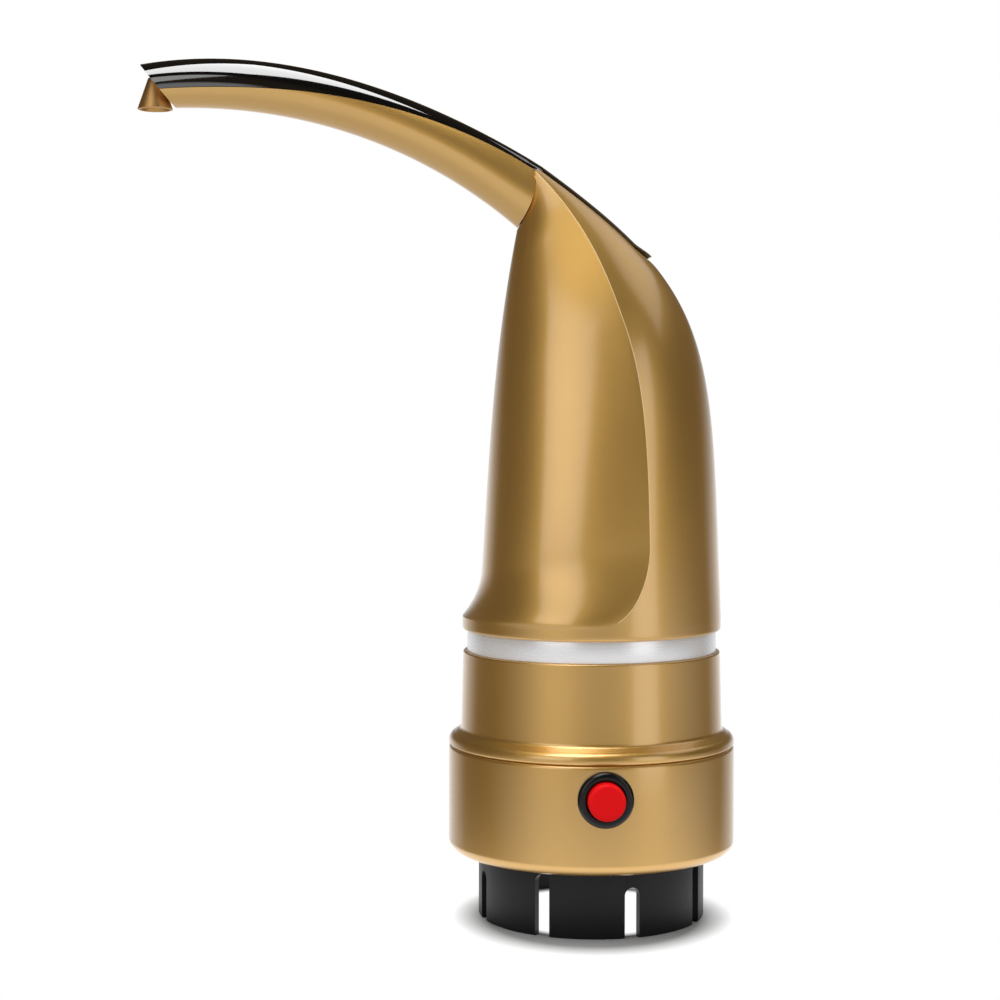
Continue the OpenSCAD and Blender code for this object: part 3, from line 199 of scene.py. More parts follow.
for turn in SCREW_TURNS:
    at = Matrix.Rotation(math.radians(turn), 4, "Z") @ Matrix.Translation((SCREW_RING * MM, 0, 0))
    rod(cutter, SCREW_HOLE_R, WEB_Z - OVER, FLANGE_Z + OVER, at, 24)
for (x, y), r in ((INLET, INLET_HOLE_R), (VENT, VENT_R)):
    rod(cutter, r, WEB_Z - OVER, FLANGE_Z + OVER, Matrix.Translation((x * MM, y * MM, 0)))
bmesh.ops.recalc_face_normals(cutter, faces=cutter.faces)
piece("collar", collar, black_abs, "housing", ["bottle_collar"], cutter=cutter)

# Nitrile rubber, pressed in a matt mould: dark grey, with almost no gloss
nitrile = surface("nitrile_rubber", "#3a3a3c", "#2f2f31", 12, 0.4, (0.62, 0.78), 0.02, IOR=1.52)
dress(["neck_gasket", "inlet_grommet"], nitrile)

# Steel under bright zinc plate: pale grey, a little cloudy
zinc_plate = surface("zinc_plated_steel", "#c6c8cc", "#aeb1b6", 6, 0.3, (0.26, 0.38), 0.004,
                     Metallic=1.0)
dress(["collar_screws"], zinc_plate)


# Base ring: a die-cast ring under gold metallic lacquer, open below round the collar. Two flat pads
# with holes carry the push switch and the charging socket, and a notch at the back eases lifting.

BASE_R, BASE_IN, BASE_Z, SEAM_Z = 37.9, 35.5, 17.5, 45.5
BASE_ROUND, ROUND_END, SEAM_EDGE = 3.0, -72.5, 0.9
SHELF_W, SHELF_T = 7.0, 3.0
PAD_R, PAD_OUT, PAD_IN = 37.15, 4.0, 6.0
BUTTON_Z, BUTTON_TURN, JACK_TURN = 37.1, 3, 183
SWITCH_PAD_R, SWITCH_HOLE_R, JACK_PAD_R, JACK_HOLE_R = 7.35, 6.1, 6.85, 5.6
NOTCH_DEPTH, NOTCH_HALF, NOTCH_H = 1.4, 7.0, 3.6

# Gold lacquer with metal flake: satin, and a little deeper in tone from place to place. Real flakes
# are about 0.03 mm and wouldn't show, so they are drawn at 0.35 mm.
gold_lacquer = surface("gold_metallic_lacquer", "#dfb261", "#d6a858", 22, 0.35, (0.38, 0.46), 0.004,
                       Metallic=0.95, Coat_Weight=1.0, Coat_Roughness=0.16, Coat_IOR=1.75)


def on_pad(turn):
    """Place of a panel fitting: its Z points out of the ring and 0 is on the pad."""
    return (Matrix.Rotation(math.radians(turn), 4, "Z")
            @ Matrix.Translation((0, -PAD_R * MM, BUTTON_Z * MM))
            @ Matrix.Rotation(math.pi / 2, 4, "X"))


def block(bm, low, high):
    """Adds a box between two corners."""
    size = [(b - a) * MM for a, b in zip(low, high)]
    middle = Matrix.Translation([(a + b) / 2 * MM for a, b in zip(low, high)])
    bmesh.ops.create_cube(bm, size=1.0, matrix=middle @ Matrix.Diagonal((*size, 1.0)))


base = turned([(BASE_IN, BASE_Z + BASE_ROUND)]
              + arc(BASE_R - BASE_ROUND, BASE_Z + BASE_ROUND, BASE_ROUND, ROUND_END, 0, 16)
              + arc(BASE_R - SEAM_EDGE, SEAM_Z - SEAM_EDGE, SEAM_EDGE, 0, 90, 8)
              + [(BASE_IN, SEAM_Z), (BASE_IN, FLANGE_Z + SHELF_T),
                 (BASE_IN - SHELF_W, FLANGE_Z + SHELF_T), (BASE_IN - SHELF_W, FLANGE_Z),
                 (BASE_IN, FLANGE_Z)])
cutter = bmesh.new()
for turn, pad, hole in ((BUTTON_TURN, SWITCH_PAD_R, SWITCH_HOLE_R),
                        (JACK_TURN, JACK_PAD_R, JACK_HOLE_R)):
    rod(cutter, pad, 0, PAD_OUT, on_pad(turn), 96)
    rod(cutter, hole, -PAD_IN, OVER, on_pad(turn), 96)
block(cutter, (BASE_R - NOTCH_DEPTH, -NOTCH_HALF, BASE_Z - OVER),
      (BASE_R + OVER, NOTCH_HALF, BASE_Z + NOTCH_H))
piece("base", base, gold_lacquer, "housing", ["base_ring"], cutter=cutter)


# Push switch: a bezel moulded in black ABS, on a barrel that goes through the pad and is held by a
# nut behind it. The red cap slides in the bezel on a stem, against a coil spring, and closes a
# contact at the rear.

BARREL_R, REAR_R, SWITCH_REAR = 6.0, 4.6, -17.4
BEZEL_R, BEZEL_T, BEZEL_ROUND, BEZEL_RELIEF = 7.1, 2.2, 1.2, 0.1
WELL_R, WELL_FLOOR, WELL_EDGE, GUIDE_R, GUIDE_FLOOR = 5.0, -9.0, 0.3, 1.55, -12.0
CAP_R, CAP_LOW, CAP_TOP, CAP_ROUND, CAP_ROUND_END = 4.7, -3.8, 5.2, 0.9, 84
CAP_FLAT_R, CAP_DISH, STEM_R, STEM_END = 2.4, 0.05, 1.5, GUIDE_FLOOR - 0.7
SPRING_R, WIRE_R, SPRING_TURNS, TURN_STEPS = 3.0, 0.3, 4, 32
SPRING_SEAT, SPRING_KEEP = 0.35, 0.45

# Black ABS from a polished part of the mould: the same black, with a clear gloss
gloss_abs = surface("gloss_black_abs", "#0c0d0f", "#090a0c", 10, 0.6, (0.2, 0.28), 0.004, IOR=1.53,
                    Specular_IOR_Level=0.35)
bezel = turned([(BARREL_R, SWITCH_REAR), (BARREL_R, 0), (BEZEL_R - BEZEL_RELIEF, 0)]
               + arc(BEZEL_R - BEZEL_ROUND, BEZEL_T - BEZEL_ROUND, BEZEL_ROUND, 0, 90, 10)
               + arc(WELL_R + WELL_EDGE, BEZEL_T - WELL_EDGE, WELL_EDGE, 90, 180, 5)
               + [(WELL_R, WELL_FLOOR), (GUIDE_R, WELL_FLOOR), (GUIDE_R, GUIDE_FLOOR),
                  (REAR_R, GUIDE_FLOOR), (REAR_R, SWITCH_REAR)], 128)
bezel.transform(on_pad(BUTTON_TURN))
piece("bezel", bezel, gloss_abs, "housing", ["switch_body"])

# Red ABS, coloured through and moulded satin: a strong even red with little shine
red_abs = surface("red_abs", "#f01217", "#e80f14", 8, 0.6, (0.36, 0.44), 0.004, IOR=1.5,
                  Specular_IOR_Level=0.1)
cap = turned([(0, STEM_END), (STEM_R, STEM_END), (STEM_R, CAP_LOW), (CAP_R, CAP_LOW)]
             + arc(CAP_R - CAP_ROUND, CAP_TOP - CAP_ROUND, CAP_ROUND, 0, CAP_ROUND_END, 10)
             + [(CAP_FLAT_R, CAP_TOP), (0, CAP_TOP - CAP_DISH)], 128, closed=False)
cap.transform(on_pad(BUTTON_TURN))
piece("cap", cap, red_abs, "button", ["button_cap"])

# Spring steel wire, drawn bright: smooth and grey
spring_wire = surface("spring_steel_wire", "#b9bcc2", "#a3a6ac", 2, 0.2, (0.22, 0.34), 0.003,
                      Metallic=1.0)
spring = bmesh.new()
at = (Matrix.Translation((SPRING_R * MM, 0, (WELL_FLOOR + SPRING_SEAT) * MM))
      @ Matrix.Rotation(math.pi / 2, 4, "X"))
wire = bmesh.ops.create_circle(spring, segments=12, radius=WIRE_R * MM, matrix=at)["verts"]
steps = SPRING_TURNS * TURN_STEPS
rise = (CAP_LOW - WELL_FLOOR - 2 * SPRING_SEAT) * MM / steps
bmesh.ops.spin(spring, geom=wire + list(spring.edges), cent=(0, 0, 0), axis=(0, 0, 1),
               dvec=(0, 0, rise), angle=math.tau * SPRING_TURNS, steps=steps, use_duplicate=False)
bmesh.ops.holes_fill(spring, edges=[e for e in spring.edges if e.is_boundary], sides=0)
bmesh.ops.recalc_face_normals(spring, faces=spring.faces)
press = on_pad(BUTTON_TURN)
spring.transform(press)
coil = piece("return_spring", spring, spring_wire, "housing", ["button_spring"], crease=60)
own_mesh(coil)

# Phenolic resin with wood filler, pressed hot: dull brown
phenolic = surface("phenolic_moulding", "#3d352b", "#322b23", 4, 0.4, (0.45, 0.6), 0.01, IOR=1.6)
# Brass, stamped and tumbled bright: yellow, with soft reflections
brass = surface("bright_brass", "#d8b062", "#c79b4c", 8, 0.3, (0.2, 0.3), 0.003, Metallic=1.0)
# Bare copper, rolled or drawn: pinkish, a little darker where it has aged
copper = surface("bare_copper", "#c8794e", "#b5663d", 5, 0.25, (0.28, 0.4), 0.004, Metallic=1.0)
dress(["switch_base"], phenolic)
dress(["switch_terminals"], brass)
dress(["contact_bridge"], copper)
dress(["switch_nut"], zinc_plate)


# Charging socket: a round power jack moulded in black ABS, on the side away from the button. It
# goes through its own pad, with a flange outside and a nut inside.

JACK_R, JACK_REAR, JACK_FLANGE_R, JACK_FLANGE_T, JACK_ROUND = 5.5, -10.0, 6.6, 1.6, 0.4
JACK_BORE_R, JACK_FLOOR, JACK_BORE_EDGE, PIN_HOLE_R = 3.2, -8.0, 0.3, 1.02

jack = turned([(JACK_R, JACK_REAR), (JACK_R, 0)]
              + arc(JACK_FLANGE_R - JACK_ROUND, JACK_FLANGE_T - JACK_ROUND, JACK_ROUND, 0, 90, 5)
              + arc(JACK_BORE_R + JACK_BORE_EDGE, JACK_FLANGE_T - JACK_BORE_EDGE, JACK_BORE_EDGE,
                    90, 180, 5)
              + [(JACK_BORE_R, JACK_FLOOR), (PIN_HOLE_R, JACK_FLOOR), (PIN_HOLE_R, JACK_REAR)], 96)
jack.transform(on_pad(JACK_TURN))
piece("jack", jack, black_abs, "housing", ["charge_socket"])
dress(["socket_pins"], brass)
dress(["socket_nut"], zinc_plate)


# Deck: a plate moulded in black ABS, screwed down on the bosses of the base ring. It carries the
# pump below it, and the battery holder and the inner frame above it.

dress(["deck_plate"], black_abs)
dress(["deck_screws"], zinc_plate)


# Gear pump: an acetal body and cover, screwed on under the deck, with a socket for the suction tube
# pressed into the cover. Two meshing nylon gears turn in the body, one on the motor's shaft and one
# on a pin.

# Acetal, moulded: off-white and waxy. The flow marks of the moulding are about 0.5 mm apart.
acetal = surface("acetal_moulding", "#e2e0d8", "#d6d3c8", 10, 0.5, (0.38, 0.5), 0.008, IOR=1.48)
# Nylon, moulded: a warmer white, slightly dull
nylon = surface("nylon_gear", "#efe9d8", "#e4dcc6", 5, 0.4, (0.4, 0.52), 0.008, IOR=1.53)
dress(["inlet_socket", "pump_cover", "pump_body"], acetal)
dress(["drive_gear", "driven_gear"], nylon)
dress(["pump_gasket", "shaft_seal"], nitrile)
dress(["pump_screws", "pump_mount_screws", "gear_pin"], zinc_plate)


# Motor: a drawn steel can that stands on the pump, up through the deck, with two magnets inside.
# The laminated rotor and its commutator sit on the shaft, which runs in sintered bushes, and brushes
# in the end cap feed it.

# Electrical steel in stacked sheets: dark grey, with fine lines across the shaft from the sheets'
# edges, about 0.12 mm apart
lamination = surface("laminated_steel", "#85878d", "#6d6f75", 4, 0.35, (0.35, 0.5), 0.01,
                     stretch=(0.1, 0.1, 3), Metallic=1.0)
# Ferrite, pressed and sintered: charcoal grey and matt, like fired clay
ferrite = surface("sintered_ferrite", "#4c4c51", "#414146", 5, 0.3, (0.6, 0.75), 0.02)
# Carbon with copper powder, pressed: near black, with a faint graphite sheen
carbon = surface("pressed_carbon", "#353538", "#2b2b2e", 2, 0.2, (0.5, 0.65), 0.01)
dress(["motor_can", "motor_shaft"], zinc_plate)
dress(["rotor_core"], lamination)
dress(["motor_magnets"], ferrite)
dress(["motor_brushes"], carbon)
dress(["motor_bushes", "motor_terminals"], brass)
dress(["rotor_coils", "commutator"], copper)
dress(["motor_endcap"], acetal)


# Battery: two wrapped cells, joined by spot-welded tabs, in a holder of black ABS above the motor.
# The holder stands on legs that are screwed to the deck.

# PVC sleeve, shrunk on with heat: smooth blue, with a slight ripple about 1.2 mm wide
shrink_wrap = surface("shrink_wrap", "#2f72b6", "#28649f", 15, 1.2, (0.25, 0.36), 0.01, IOR=1.53)
dress(["battery_holder"], black_abs)
dress(["battery_cells"], shrink_wrap)
dress(["holder_screws", "nickel_tabs"], zinc_plate)


# Control board: a glass-fibre board with its parts, screwed to the battery holder. The leads of the
# switch, the socket, the motor and the battery end on it.

# Solder resist over glass fibre, printed and cured: glossy green, with a weave of 0.5 mm under it
solder_resist = surface("solder_resist", "#1f6d3b", "#195c31", 6, 0.5, (0.3, 0.42), 0.01, IOR=1.5)
# Epoxy with silica, moulded round the chips: charcoal, finely grained
epoxy = surface("epoxy_package", "#323234", "#28282a", 3, 0.25, (0.45, 0.6), 0.01, IOR=1.55)
dress(["control_board"], solder_resist)
dress(["board_parts"], epoxy)
dress(["board_screws"], zinc_plate)

# PVC insulation, extruded over the strands: an even colour with a soft shine
for name, light, dark, leads in (
        ("red_pvc", "#c4332b", "#b32a23", ["switch_leads", "battery_leads"]),
        ("black_pvc", "#2e2e33", "#252529", ["socket_leads"]),
        ("blue_pvc", "#2a4ca6", "#234092", ["motor_leads"])):
    dress(leads, surface(name, light, dark, 5, 0.6, (0.35, 0.48), 0.006, IOR=1.53))


# Inner frame: a ring on four pillars, moulded in black ABS and screwed to the deck. The drum, the
# trim ring and the upper housing are pushed over it, which keeps them in line.

dress(["inner_frame"], black_abs)
dress(["frame_screws"], zinc_plate)


# Drum: a lacquered metal tube with a flared foot that stands on the base ring, over the deck. Its
# rounded lower edge and the base ring's upper edge make the dark groove between the two.

DRUM_Z, DRUM_R, DRUM_IN, DRUM_EDGE = 70.4, 34.1, 31.9, 0.4
DRUM_HOLD = 0.5  # a row this far below the top keeps the wall's shading straight
FOOT_ROUND, FOOT_RISE, FOOT_END = 2.0, 1.2, 75
FLARE_R, FLARE_RISE, FLARE_COVE = 35.8, 5.0, 1.2
DECK_SEAT_Z = 48.65

drum = turned(arc(BASE_R - SEAM_EDGE, SEAM_Z + SEAM_EDGE, SEAM_EDGE, -90, 0, 8)
              + arc(BASE_R - FOOT_ROUND, SEAM_Z + FOOT_RISE, FOOT_ROUND, 0, FOOT_END, 12)
              + arc(FLARE_R, SEAM_Z + FLARE_RISE, FLARE_COVE, 180 + FOOT_END, 180, 10)
              + [(DRUM_R, DRUM_Z - DRUM_HOLD)]
              + arc(DRUM_R - DRUM_EDGE, DRUM_Z - DRUM_EDGE, DRUM_EDGE, 0, 90, 5)
              + [(DRUM_IN, DRUM_Z), (DRUM_IN, DECK_SEAT_Z), (BASE_IN, DECK_SEAT_Z),
                 (BASE_IN, SEAM_Z)])
piece("drum", drum, gold_lacquer, "housing", ["drum_shell"])


# Trim ring: a band cut from aluminium tube, brushed round its outside and clear anodised. It is
# clamped between the drum and the upper housing, a little inside both.

TRIM_R, TRIM_Z, TRIM_EDGE = 33.0, 76.0, 0.2

# Brushed aluminium under a clear anodised layer: silver white, with fine lines about 0.12 mm apart
# that run round the ring. The layer softens its reflections, so it isn't fully metallic.
brushed_aluminium = surface("brushed_aluminium", "#fdfdfe", "#f6f6f8", 15, 0.5, (0.24, 0.32), 0.004,
                            stretch=(0.02, 0.02, 4.0), Metallic=0.42)
trim = turned([(DRUM_IN, DRUM_Z)]
              + arc(TRIM_R - TRIM_EDGE, DRUM_Z + TRIM_EDGE, TRIM_EDGE, -90, 0, 4)
              + arc(TRIM_R - TRIM_EDGE, TRIM_Z - TRIM_EDGE, TRIM_EDGE, 0, 90, 4)
              + [(DRUM_IN, TRIM_Z)], 256)
piece("trim_band", trim, brushed_aluminium, "housing", ["trim_ring"])


# Upper housing: a die-cast shell under the same lacquer, from a round rim to a narrow shoulder. Its
# front is a panel, set back behind the rim with a cove, that meets the rounded back at a crease. It
# is pushed over the inner frame.

LEDGE_Z, RIM_R, PANEL_DEPTH, COVE_H = 79.6, 34.3, 4.3, 12.0
FRONT_RAIL = [(-30.0, 79.6), (-27.3, 115.0), (-27.0, 145.0), (-19.8, 181.6)]
SPINE_RAIL = [(34.3, 79.6), (31.2, 152.0), (34.2, 164.1), (-14.1, 198.8)]
HALF_LAW = [34.3, 34.8, 27.3, 10.2]
BACK_SHARE, PANEL_POWER, HOUSING_WALL, SHOULDER_WALL = 0.538, 2.5, 2.4, 1.4
CREASE_SHARE, CREASE_CLIMB, CREASE_LEAN, CREASE_ROUND = 0.68, 0.16, 0.07, 13.0
CREASE_BEVEL, BEVEL_RISE = 0.7, 1.0  # the crease is softened from this rise above the ledge on
NARROWING = 0.6  # from this share of its height on, the crease climbs and the wall thins
JOINT_DIP, BOW_SHARE, DIP_START = 1.5, 0.87, 0.9
STRIP_START, STRIP_EASE, STRIP_END, STRIP_T, STRIP_GAP = 0.685, 0.09, 0.994, 1.6, 0.15
RIM_EDGE, RIM_STEPS, RIM_RISES = 0.9, 10, (1.5, 2.6)
BACK_COLS, PANEL_COLS, COVE_ROWS, BODY_ROWS = 132, 108, 28, 110
COVE_SHARE, COVE_CROWDING = 0.12, 1.4


def bezier(p, t):
    """Point or value on a cubic curve."""
    w = ((1 - t) ** 3, 3 * (1 - t) ** 2 * t, 3 * (1 - t) * t * t, t ** 3)
    if isinstance(p[0], tuple):
        return Vector([sum(a * q[k] for a, q in zip(w, p)) for k in (0, 1)])
    return sum(a * q for a, q in zip(w, p))


def ease(s):
    """A smooth step from 0 to 1."""
    s = max(0.0, min(1.0, s))
    return s * s * (3 - 2 * s)


def mix(a, b, s):
    """The value a share s of the way from a to b."""
    return a + (b - a) * s


def across(low, high, u, v, dip=0.0):
    """Point in metres of a tilted section: u along it from its low end, v across the object. A dip
    bows the flanks of the section back towards the base."""
    d = (high - low).normalized()
    w = u / (high - low).length / BOW_SHARE
    p = low + d * u + Vector((d[1], -d[0])) * dip * max(0.0, 4 * w * (1 - w))
    return Vector((p[0] * MM, v * MM, p[1] * MM))


def swell(x, n):
    """A power that keeps the sign."""
    return math.copysign(abs(x) ** n, x)


def spine_cut(t):
    """Depth of the flat that lets the cover into the spine."""
    return STRIP_T * ease((t - STRIP_START) / STRIP_EASE)


def housing_row(t, wall):
    """One closed section of the housing, drawn in by a wall: an oval back from crease to crease,
    then the panel, which goes from a circle at the ledge to a fuller oval above the cove."""
    low, high = bezier(FRONT_RAIL, t), bezier(SPINE_RAIL, t)
    span, h, half = (high - low).length, low[1] - LEDGE_Z, bezier(HALF_LAW, t)
    q = 1 - (1 - max(0.0, min(1.0, h / COVE_H))) ** 2
    a = BACK_SHARE * span
    c = span - a
    bend = max(0.0, CREASE_ROUND - max(0.0, h))
    climb = CREASE_CLIMB * max(0.0, (t - NARROWING) / (1 - NARROWING)) ** 2
    crease = (CREASE_SHARE + climb) * span - CREASE_ROUND + math.sqrt(CREASE_ROUND ** 2 - bend ** 2)
    front, middle = -PANEL_DEPTH * (1 - q), mix(c, crease - CREASE_LEAN * span, q)
    pa = middle - front
    n, lean = mix(2, PANEL_POWER, q), (crease - middle) / pa
    v = half * math.sqrt(1 - ((crease - c) / a) ** 2)
    pb = v / (1 - abs(lean) ** n) ** (1 / n)
    turn, swing = math.acos((crease - c) / a), math.pi / 2 + math.asin(swell(lean, n / 2))
    top = span - spine_cut(t) - max(0.0, wall)
    dip = JOINT_DIP * ease((t - DIP_START) / (1 - DIP_START))
    row = []
    for i in range(BACK_COLS + 1):
        f = mix(-turn, turn, i / BACK_COLS)
        u = min(c + (a - wall) * math.cos(f), top)
        row.append(across(low, high, u, (half - wall) * math.sin(f), dip))
    for i in range(1, PANEL_COLS):
        f = mix(swing, -swing, i / PANEL_COLS)
        row.append(across(low, high, middle - (pa - wall) * swell(math.cos(f), 2 / n),
                          (pb - wall) * swell(math.sin(f), 2 / n), dip))
    return row


def rim_row(z, wall, back):
    """A round row of the rim below the ledge, in step with the sections above it."""
    s = 1 - back / RIM_R
    return [Vector((p.x * s, p.y * s, z * MM)) for p in housing_row(0, wall)]


def loft(rows, capped):
    """A skin through closed rows, each extruded from the one before; capped at its ends or joined
    into a ring. The layer place keeps each point's number in its row."""
    bm = bmesh.new()
    place = bm.verts.layers.int.new("place")
    line = [bm.verts.new(p) for p in rows[0]]
    for k, v in enumerate(line):
        v[place] = k
    first = edges = [bm.edges.new((line[k - 1], line[k])) for k in range(len(line))]
    for row in rows[1:]:
        made = bmesh.ops.extrude_edge_only(bm, edges=edges)["geom"]
        fresh = {g for g in made if isinstance(g, bmesh.types.BMVert)}
        for v in fresh:
            v.co = row[v[place]]
        edges = [g for g in made if isinstance(g, bmesh.types.BMEdge) and set(g.verts) <= fresh]
    if capped:
        bmesh.ops.edgeloop_fill(bm, edges=first)
        bmesh.ops.edgeloop_fill(bm, edges=edges)
    else:
        bmesh.ops.bridge_loops(bm, edges=first + edges)
    bmesh.ops.recalc_face_normals(bm, faces=bm.faces)
    return bm


# Rows lie closest at the ledge, where the cove turns
levels = [COVE_SHARE * (i / COVE_ROWS) ** COVE_CROWDING for i in range(COVE_ROWS + 1)]
levels += [mix(COVE_SHARE, 1, i / BODY_ROWS) for i in range(1, BODY_ROWS + 1)]
edge_turns = [math.pi / 2 * i / RIM_STEPS for i in range(RIM_STEPS + 1)]
outside = [rim_row(TRIM_Z + RIM_EDGE * (1 - math.cos(a)), 0, RIM_EDGE * (1 - math.sin(a)))
           for a in edge_turns]
outside += [rim_row(TRIM_Z + z, 0, 0) for z in RIM_RISES]
outside += [housing_row(t, 0) for t in levels]
inside = [housing_row(t, mix(HOUSING_WALL, SHOULDER_WALL, ease((t - NARROWING) / (1 - NARROWING))))
          for t in reversed(levels)]
inside += [rim_row(TRIM_Z + z, HOUSING_WALL, 0) for z in (RIM_RISES[-1], 0)]
housing = loft(outside + inside, capped=False)
place = housing.verts.layers.int["place"]
creases = [e for e in housing.edges
           if e.verts[0][place] == e.verts[1][place] and e.verts[0][place] in (0, BACK_COLS)
           and min(v.co.z for v in e.verts) > (LEDGE_Z + BEVEL_RISE) * MM]
rounded = bmesh.ops.bevel(housing, geom=creases, offset=CREASE_BEVEL * MM, offset_type="OFFSET",
                          segments=4, profile=0.5, affect="EDGES", material=-1, clamp_overlap=True)
# The bevel's faces take the second finish, a painted highlight along the crease
for face in rounded["faces"]:
    face.material_index = 1
shell = piece("upper_shell", housing, gold_lacquer, "housing", ["upper_housing"],
              crease=16)

# A painted highlight along the crease: the bevel's faces get a paler, duller gold than the lacquer,
# which stands in for the light that the rounded edge catches
painted_crease_highlight = surface("crease_highlight_paint", "#fbe2b2", "#f3d6a2", 22, 0.35, (0.5, 0.6), 0.004,
                       Metallic=0.35)
shell.data.materials.append(painted_crease_highlight)


# Spout: a die-cast trough under the same lacquer, which plugs into the housing's throat with a tenon
# and narrows towards its slanted tip. The cover above it closes the section to an oval.

CROWN_RAIL = [(-14.1, 198.8), (-38.3, 213.5), (-77.9, 232.05), (-119.0, 224.95)]
BELLY_RAIL = [(-19.8, 182.2), (-44.6, 203.4), (-75.9, 214.4), (-109.8, 213.7)]
ROOT_W, TIP_W, SPOUT_WALL, SPOUT_DIP_END = 16.0, 13.4, 1.5, 0.08
TENON_IN, TENON_WALL, TENON_AT = 2.15, 1.2, (-0.07, -0.03, -0.002)
COVER_SHARES, COVER_LEAD, COVER_RUN = (0.13, 0.64), 0.05, 0.9
SPOUT_ROWS, OUTER_COLS, INNER_COLS = 120, 72, 48


def cover_share(s):
    """Share of the spout's height that the cover takes."""
    return mix(*COVER_SHARES, ease((s - COVER_LEAD) / COVER_RUN))


def spout_row(s, low_angle, high_angle, wall, steps, floor=0.0):
    """Points of the spout's oval section between two angles from its crown, none below floor."""
    low, high = bezier(BELLY_RAIL, s), bezier(CROWN_RAIL, s)
    a, b = (high - low).length / 2, mix(ROOT_W, TIP_W, s) / 2
    turns = [mix(low_angle, high_angle, i / steps) for i in range(steps + 1)]
    dip = JOINT_DIP * (1 - ease(s / SPOUT_DIP_END))
    heights = [max(a + (a - wall) * math.cos(f), floor) for f in turns]
    return [across(low, high, u, (b - wall) * math.sin(f), dip) for u, f in zip(heights, turns)]


def trough_row(s, inset, wall):
    """Closed section of the trough: its outside, then its inside."""
    span = (bezier(CROWN_RAIL, s) - bezier(BELLY_RAIL, s)).length
    k = math.acos(1 - 2 * (cover_share(s) + STRIP_GAP / span))
    return (spout_row(s, k, math.tau - k, inset, OUTER_COLS)
            + spout_row(s, math.tau - k, k, inset + wall, INNER_COLS))


trough = loft([trough_row(s, TENON_IN, TENON_WALL) for s in TENON_AT]
              + [trough_row(i / SPOUT_ROWS, 0, SPOUT_WALL) for i in range(SPOUT_ROWS + 1)],
              capped=True)
piece("spout_trough", trough, gold_lacquer, "housing", ["spout_shell"])


# Spout cover: a strip of glossy black ABS that snaps over the spout. Its tail is let into a flat on
# the housing's spine and lifts slightly at the end.

TAIL_LIFT, TAIL_RUN, TAIL_INSET, TAIL_ROWS = 1.0, 0.05, 1.5, 40
COVER_START, COVER_COLS = 0.03, 48

# Piano-black ABS, polished: mirror-like, with a faint waviness of about 4 mm
piano_black = surface("piano_black_abs", "#0b0b0c", "#080809", 20, 4.0, (0.05, 0.08), 0.004,
                      IOR=1.54, Coat_Weight=1.0, Coat_Roughness=0.04, Coat_IOR=2.0)


def strip_row(t):
    """Closed section of the tail: its top, then its flat underside."""
    low, high = bezier(FRONT_RAIL, t), bezier(SPINE_RAIL, t)
    span, half = (high - low).length, bezier(HALF_LAW, t)
    a, cut = BACK_SHARE * span, spine_cut(t) - STRIP_GAP
    k = math.acos(1 - cut / a)
    top = span - a + TAIL_LIFT * (1 - ease((t - STRIP_START - STRIP_EASE / 2) / TAIL_RUN))
    under, inner = span - cut - STRIP_GAP / 2, half - TAIL_INSET
    turns = [mix(-k, k, i / COVER_COLS) for i in range(COVER_COLS + 1)]
    return ([across(low, high, top + a * math.cos(f), half * math.sin(f)) for f in turns]
            + [across(low, high, under, inner * math.sin(f)) for f in reversed(turns)])


def cover_row(s):
    """Closed section of the cover: its top, then its underside."""
    span = (bezier(CROWN_RAIL, s) - bezier(BELLY_RAIL, s)).length
    k, split = math.acos(1 - 2 * cover_share(s)), span * (1 - cover_share(s))
    return (spout_row(s, -k, k, 0, COVER_COLS, split)
            + spout_row(s, k, -k, SPOUT_WALL, COVER_COLS, split))


tail_start = STRIP_START + STRIP_EASE / 2
cover = loft([strip_row(mix(tail_start, STRIP_END, i / TAIL_ROWS)) for i in range(TAIL_ROWS + 1)]
             + [cover_row(mix(COVER_START, 1, i / SPOUT_ROWS)) for i in range(SPOUT_ROWS + 1)],
             capped=True)
piece("gloss_cover", cover, piano_black, "housing", ["spout_cover"])


# Nozzle: a turned brass cone that points down out of the lacquered plate in the spout's tip. A side
# spigot inside the spout takes the hose.

NOZZLE_X, NOZZLE_Z, NOZZLE_R, NOZZLE_TOP_R, NOZZLE_H = -115.2, 213.2, 4.6, 1.8, 8.2
NOZZLE_WALL, NOZZLE_EDGE, BORE_R, THROAT_H = 0.7, 0.2, 1.3, 6.7
SPIGOT_Z, SPIGOT_R, SPIGOT_START, SPIGOT_END, SPIGOT_EDGE = 7.0, 2.315, 1.0, 15.2, 0.2

nozzle = turned([(NOZZLE_R - NOZZLE_WALL, NOZZLE_Z), (NOZZLE_R - NOZZLE_WALL / 2, NOZZLE_Z)]
                + arc(NOZZLE_R - NOZZLE_EDGE, NOZZLE_Z + NOZZLE_EDGE, NOZZLE_EDGE, -90, 10, 5)
                + [(NOZZLE_TOP_R, NOZZLE_Z + NOZZLE_H), (BORE_R, NOZZLE_Z + NOZZLE_H),
                   (BORE_R, NOZZLE_Z + THROAT_H)], 96)
spigot = turned([(BORE_R, SPIGOT_START), (SPIGOT_R, SPIGOT_START),
                 (SPIGOT_R, SPIGOT_END - SPIGOT_EDGE), (SPIGOT_R - SPIGOT_EDGE, SPIGOT_END),
                 (BORE_R, SPIGOT_END)], 48)
spigot.transform(Matrix.Translation((0, 0, (NOZZLE_Z + SPIGOT_Z) * MM))
                 @ Matrix.Rotation(math.pi / 2, 4, "Y"))
side = bpy.data.meshes.new("spigot")
spigot.to_mesh(side)
spigot.free()
nozzle.from_mesh(side)
bpy.data.meshes.remove(side)
nozzle.transform(Matrix.Translation((NOZZLE_X * MM, 0, 0)))

# Brass, bead-blasted after turning: a dull satin, browner than polished brass
satin_brass = surface("satin_brass", "#d2a76c", "#c3975d", 6, 0.3, (0.4, 0.5), 0.003, Metallic=1.0)
piece("outlet", nozzle, satin_brass, "housing", ["nozzle"])
dress(["tip_plate"], gold_lacquer)


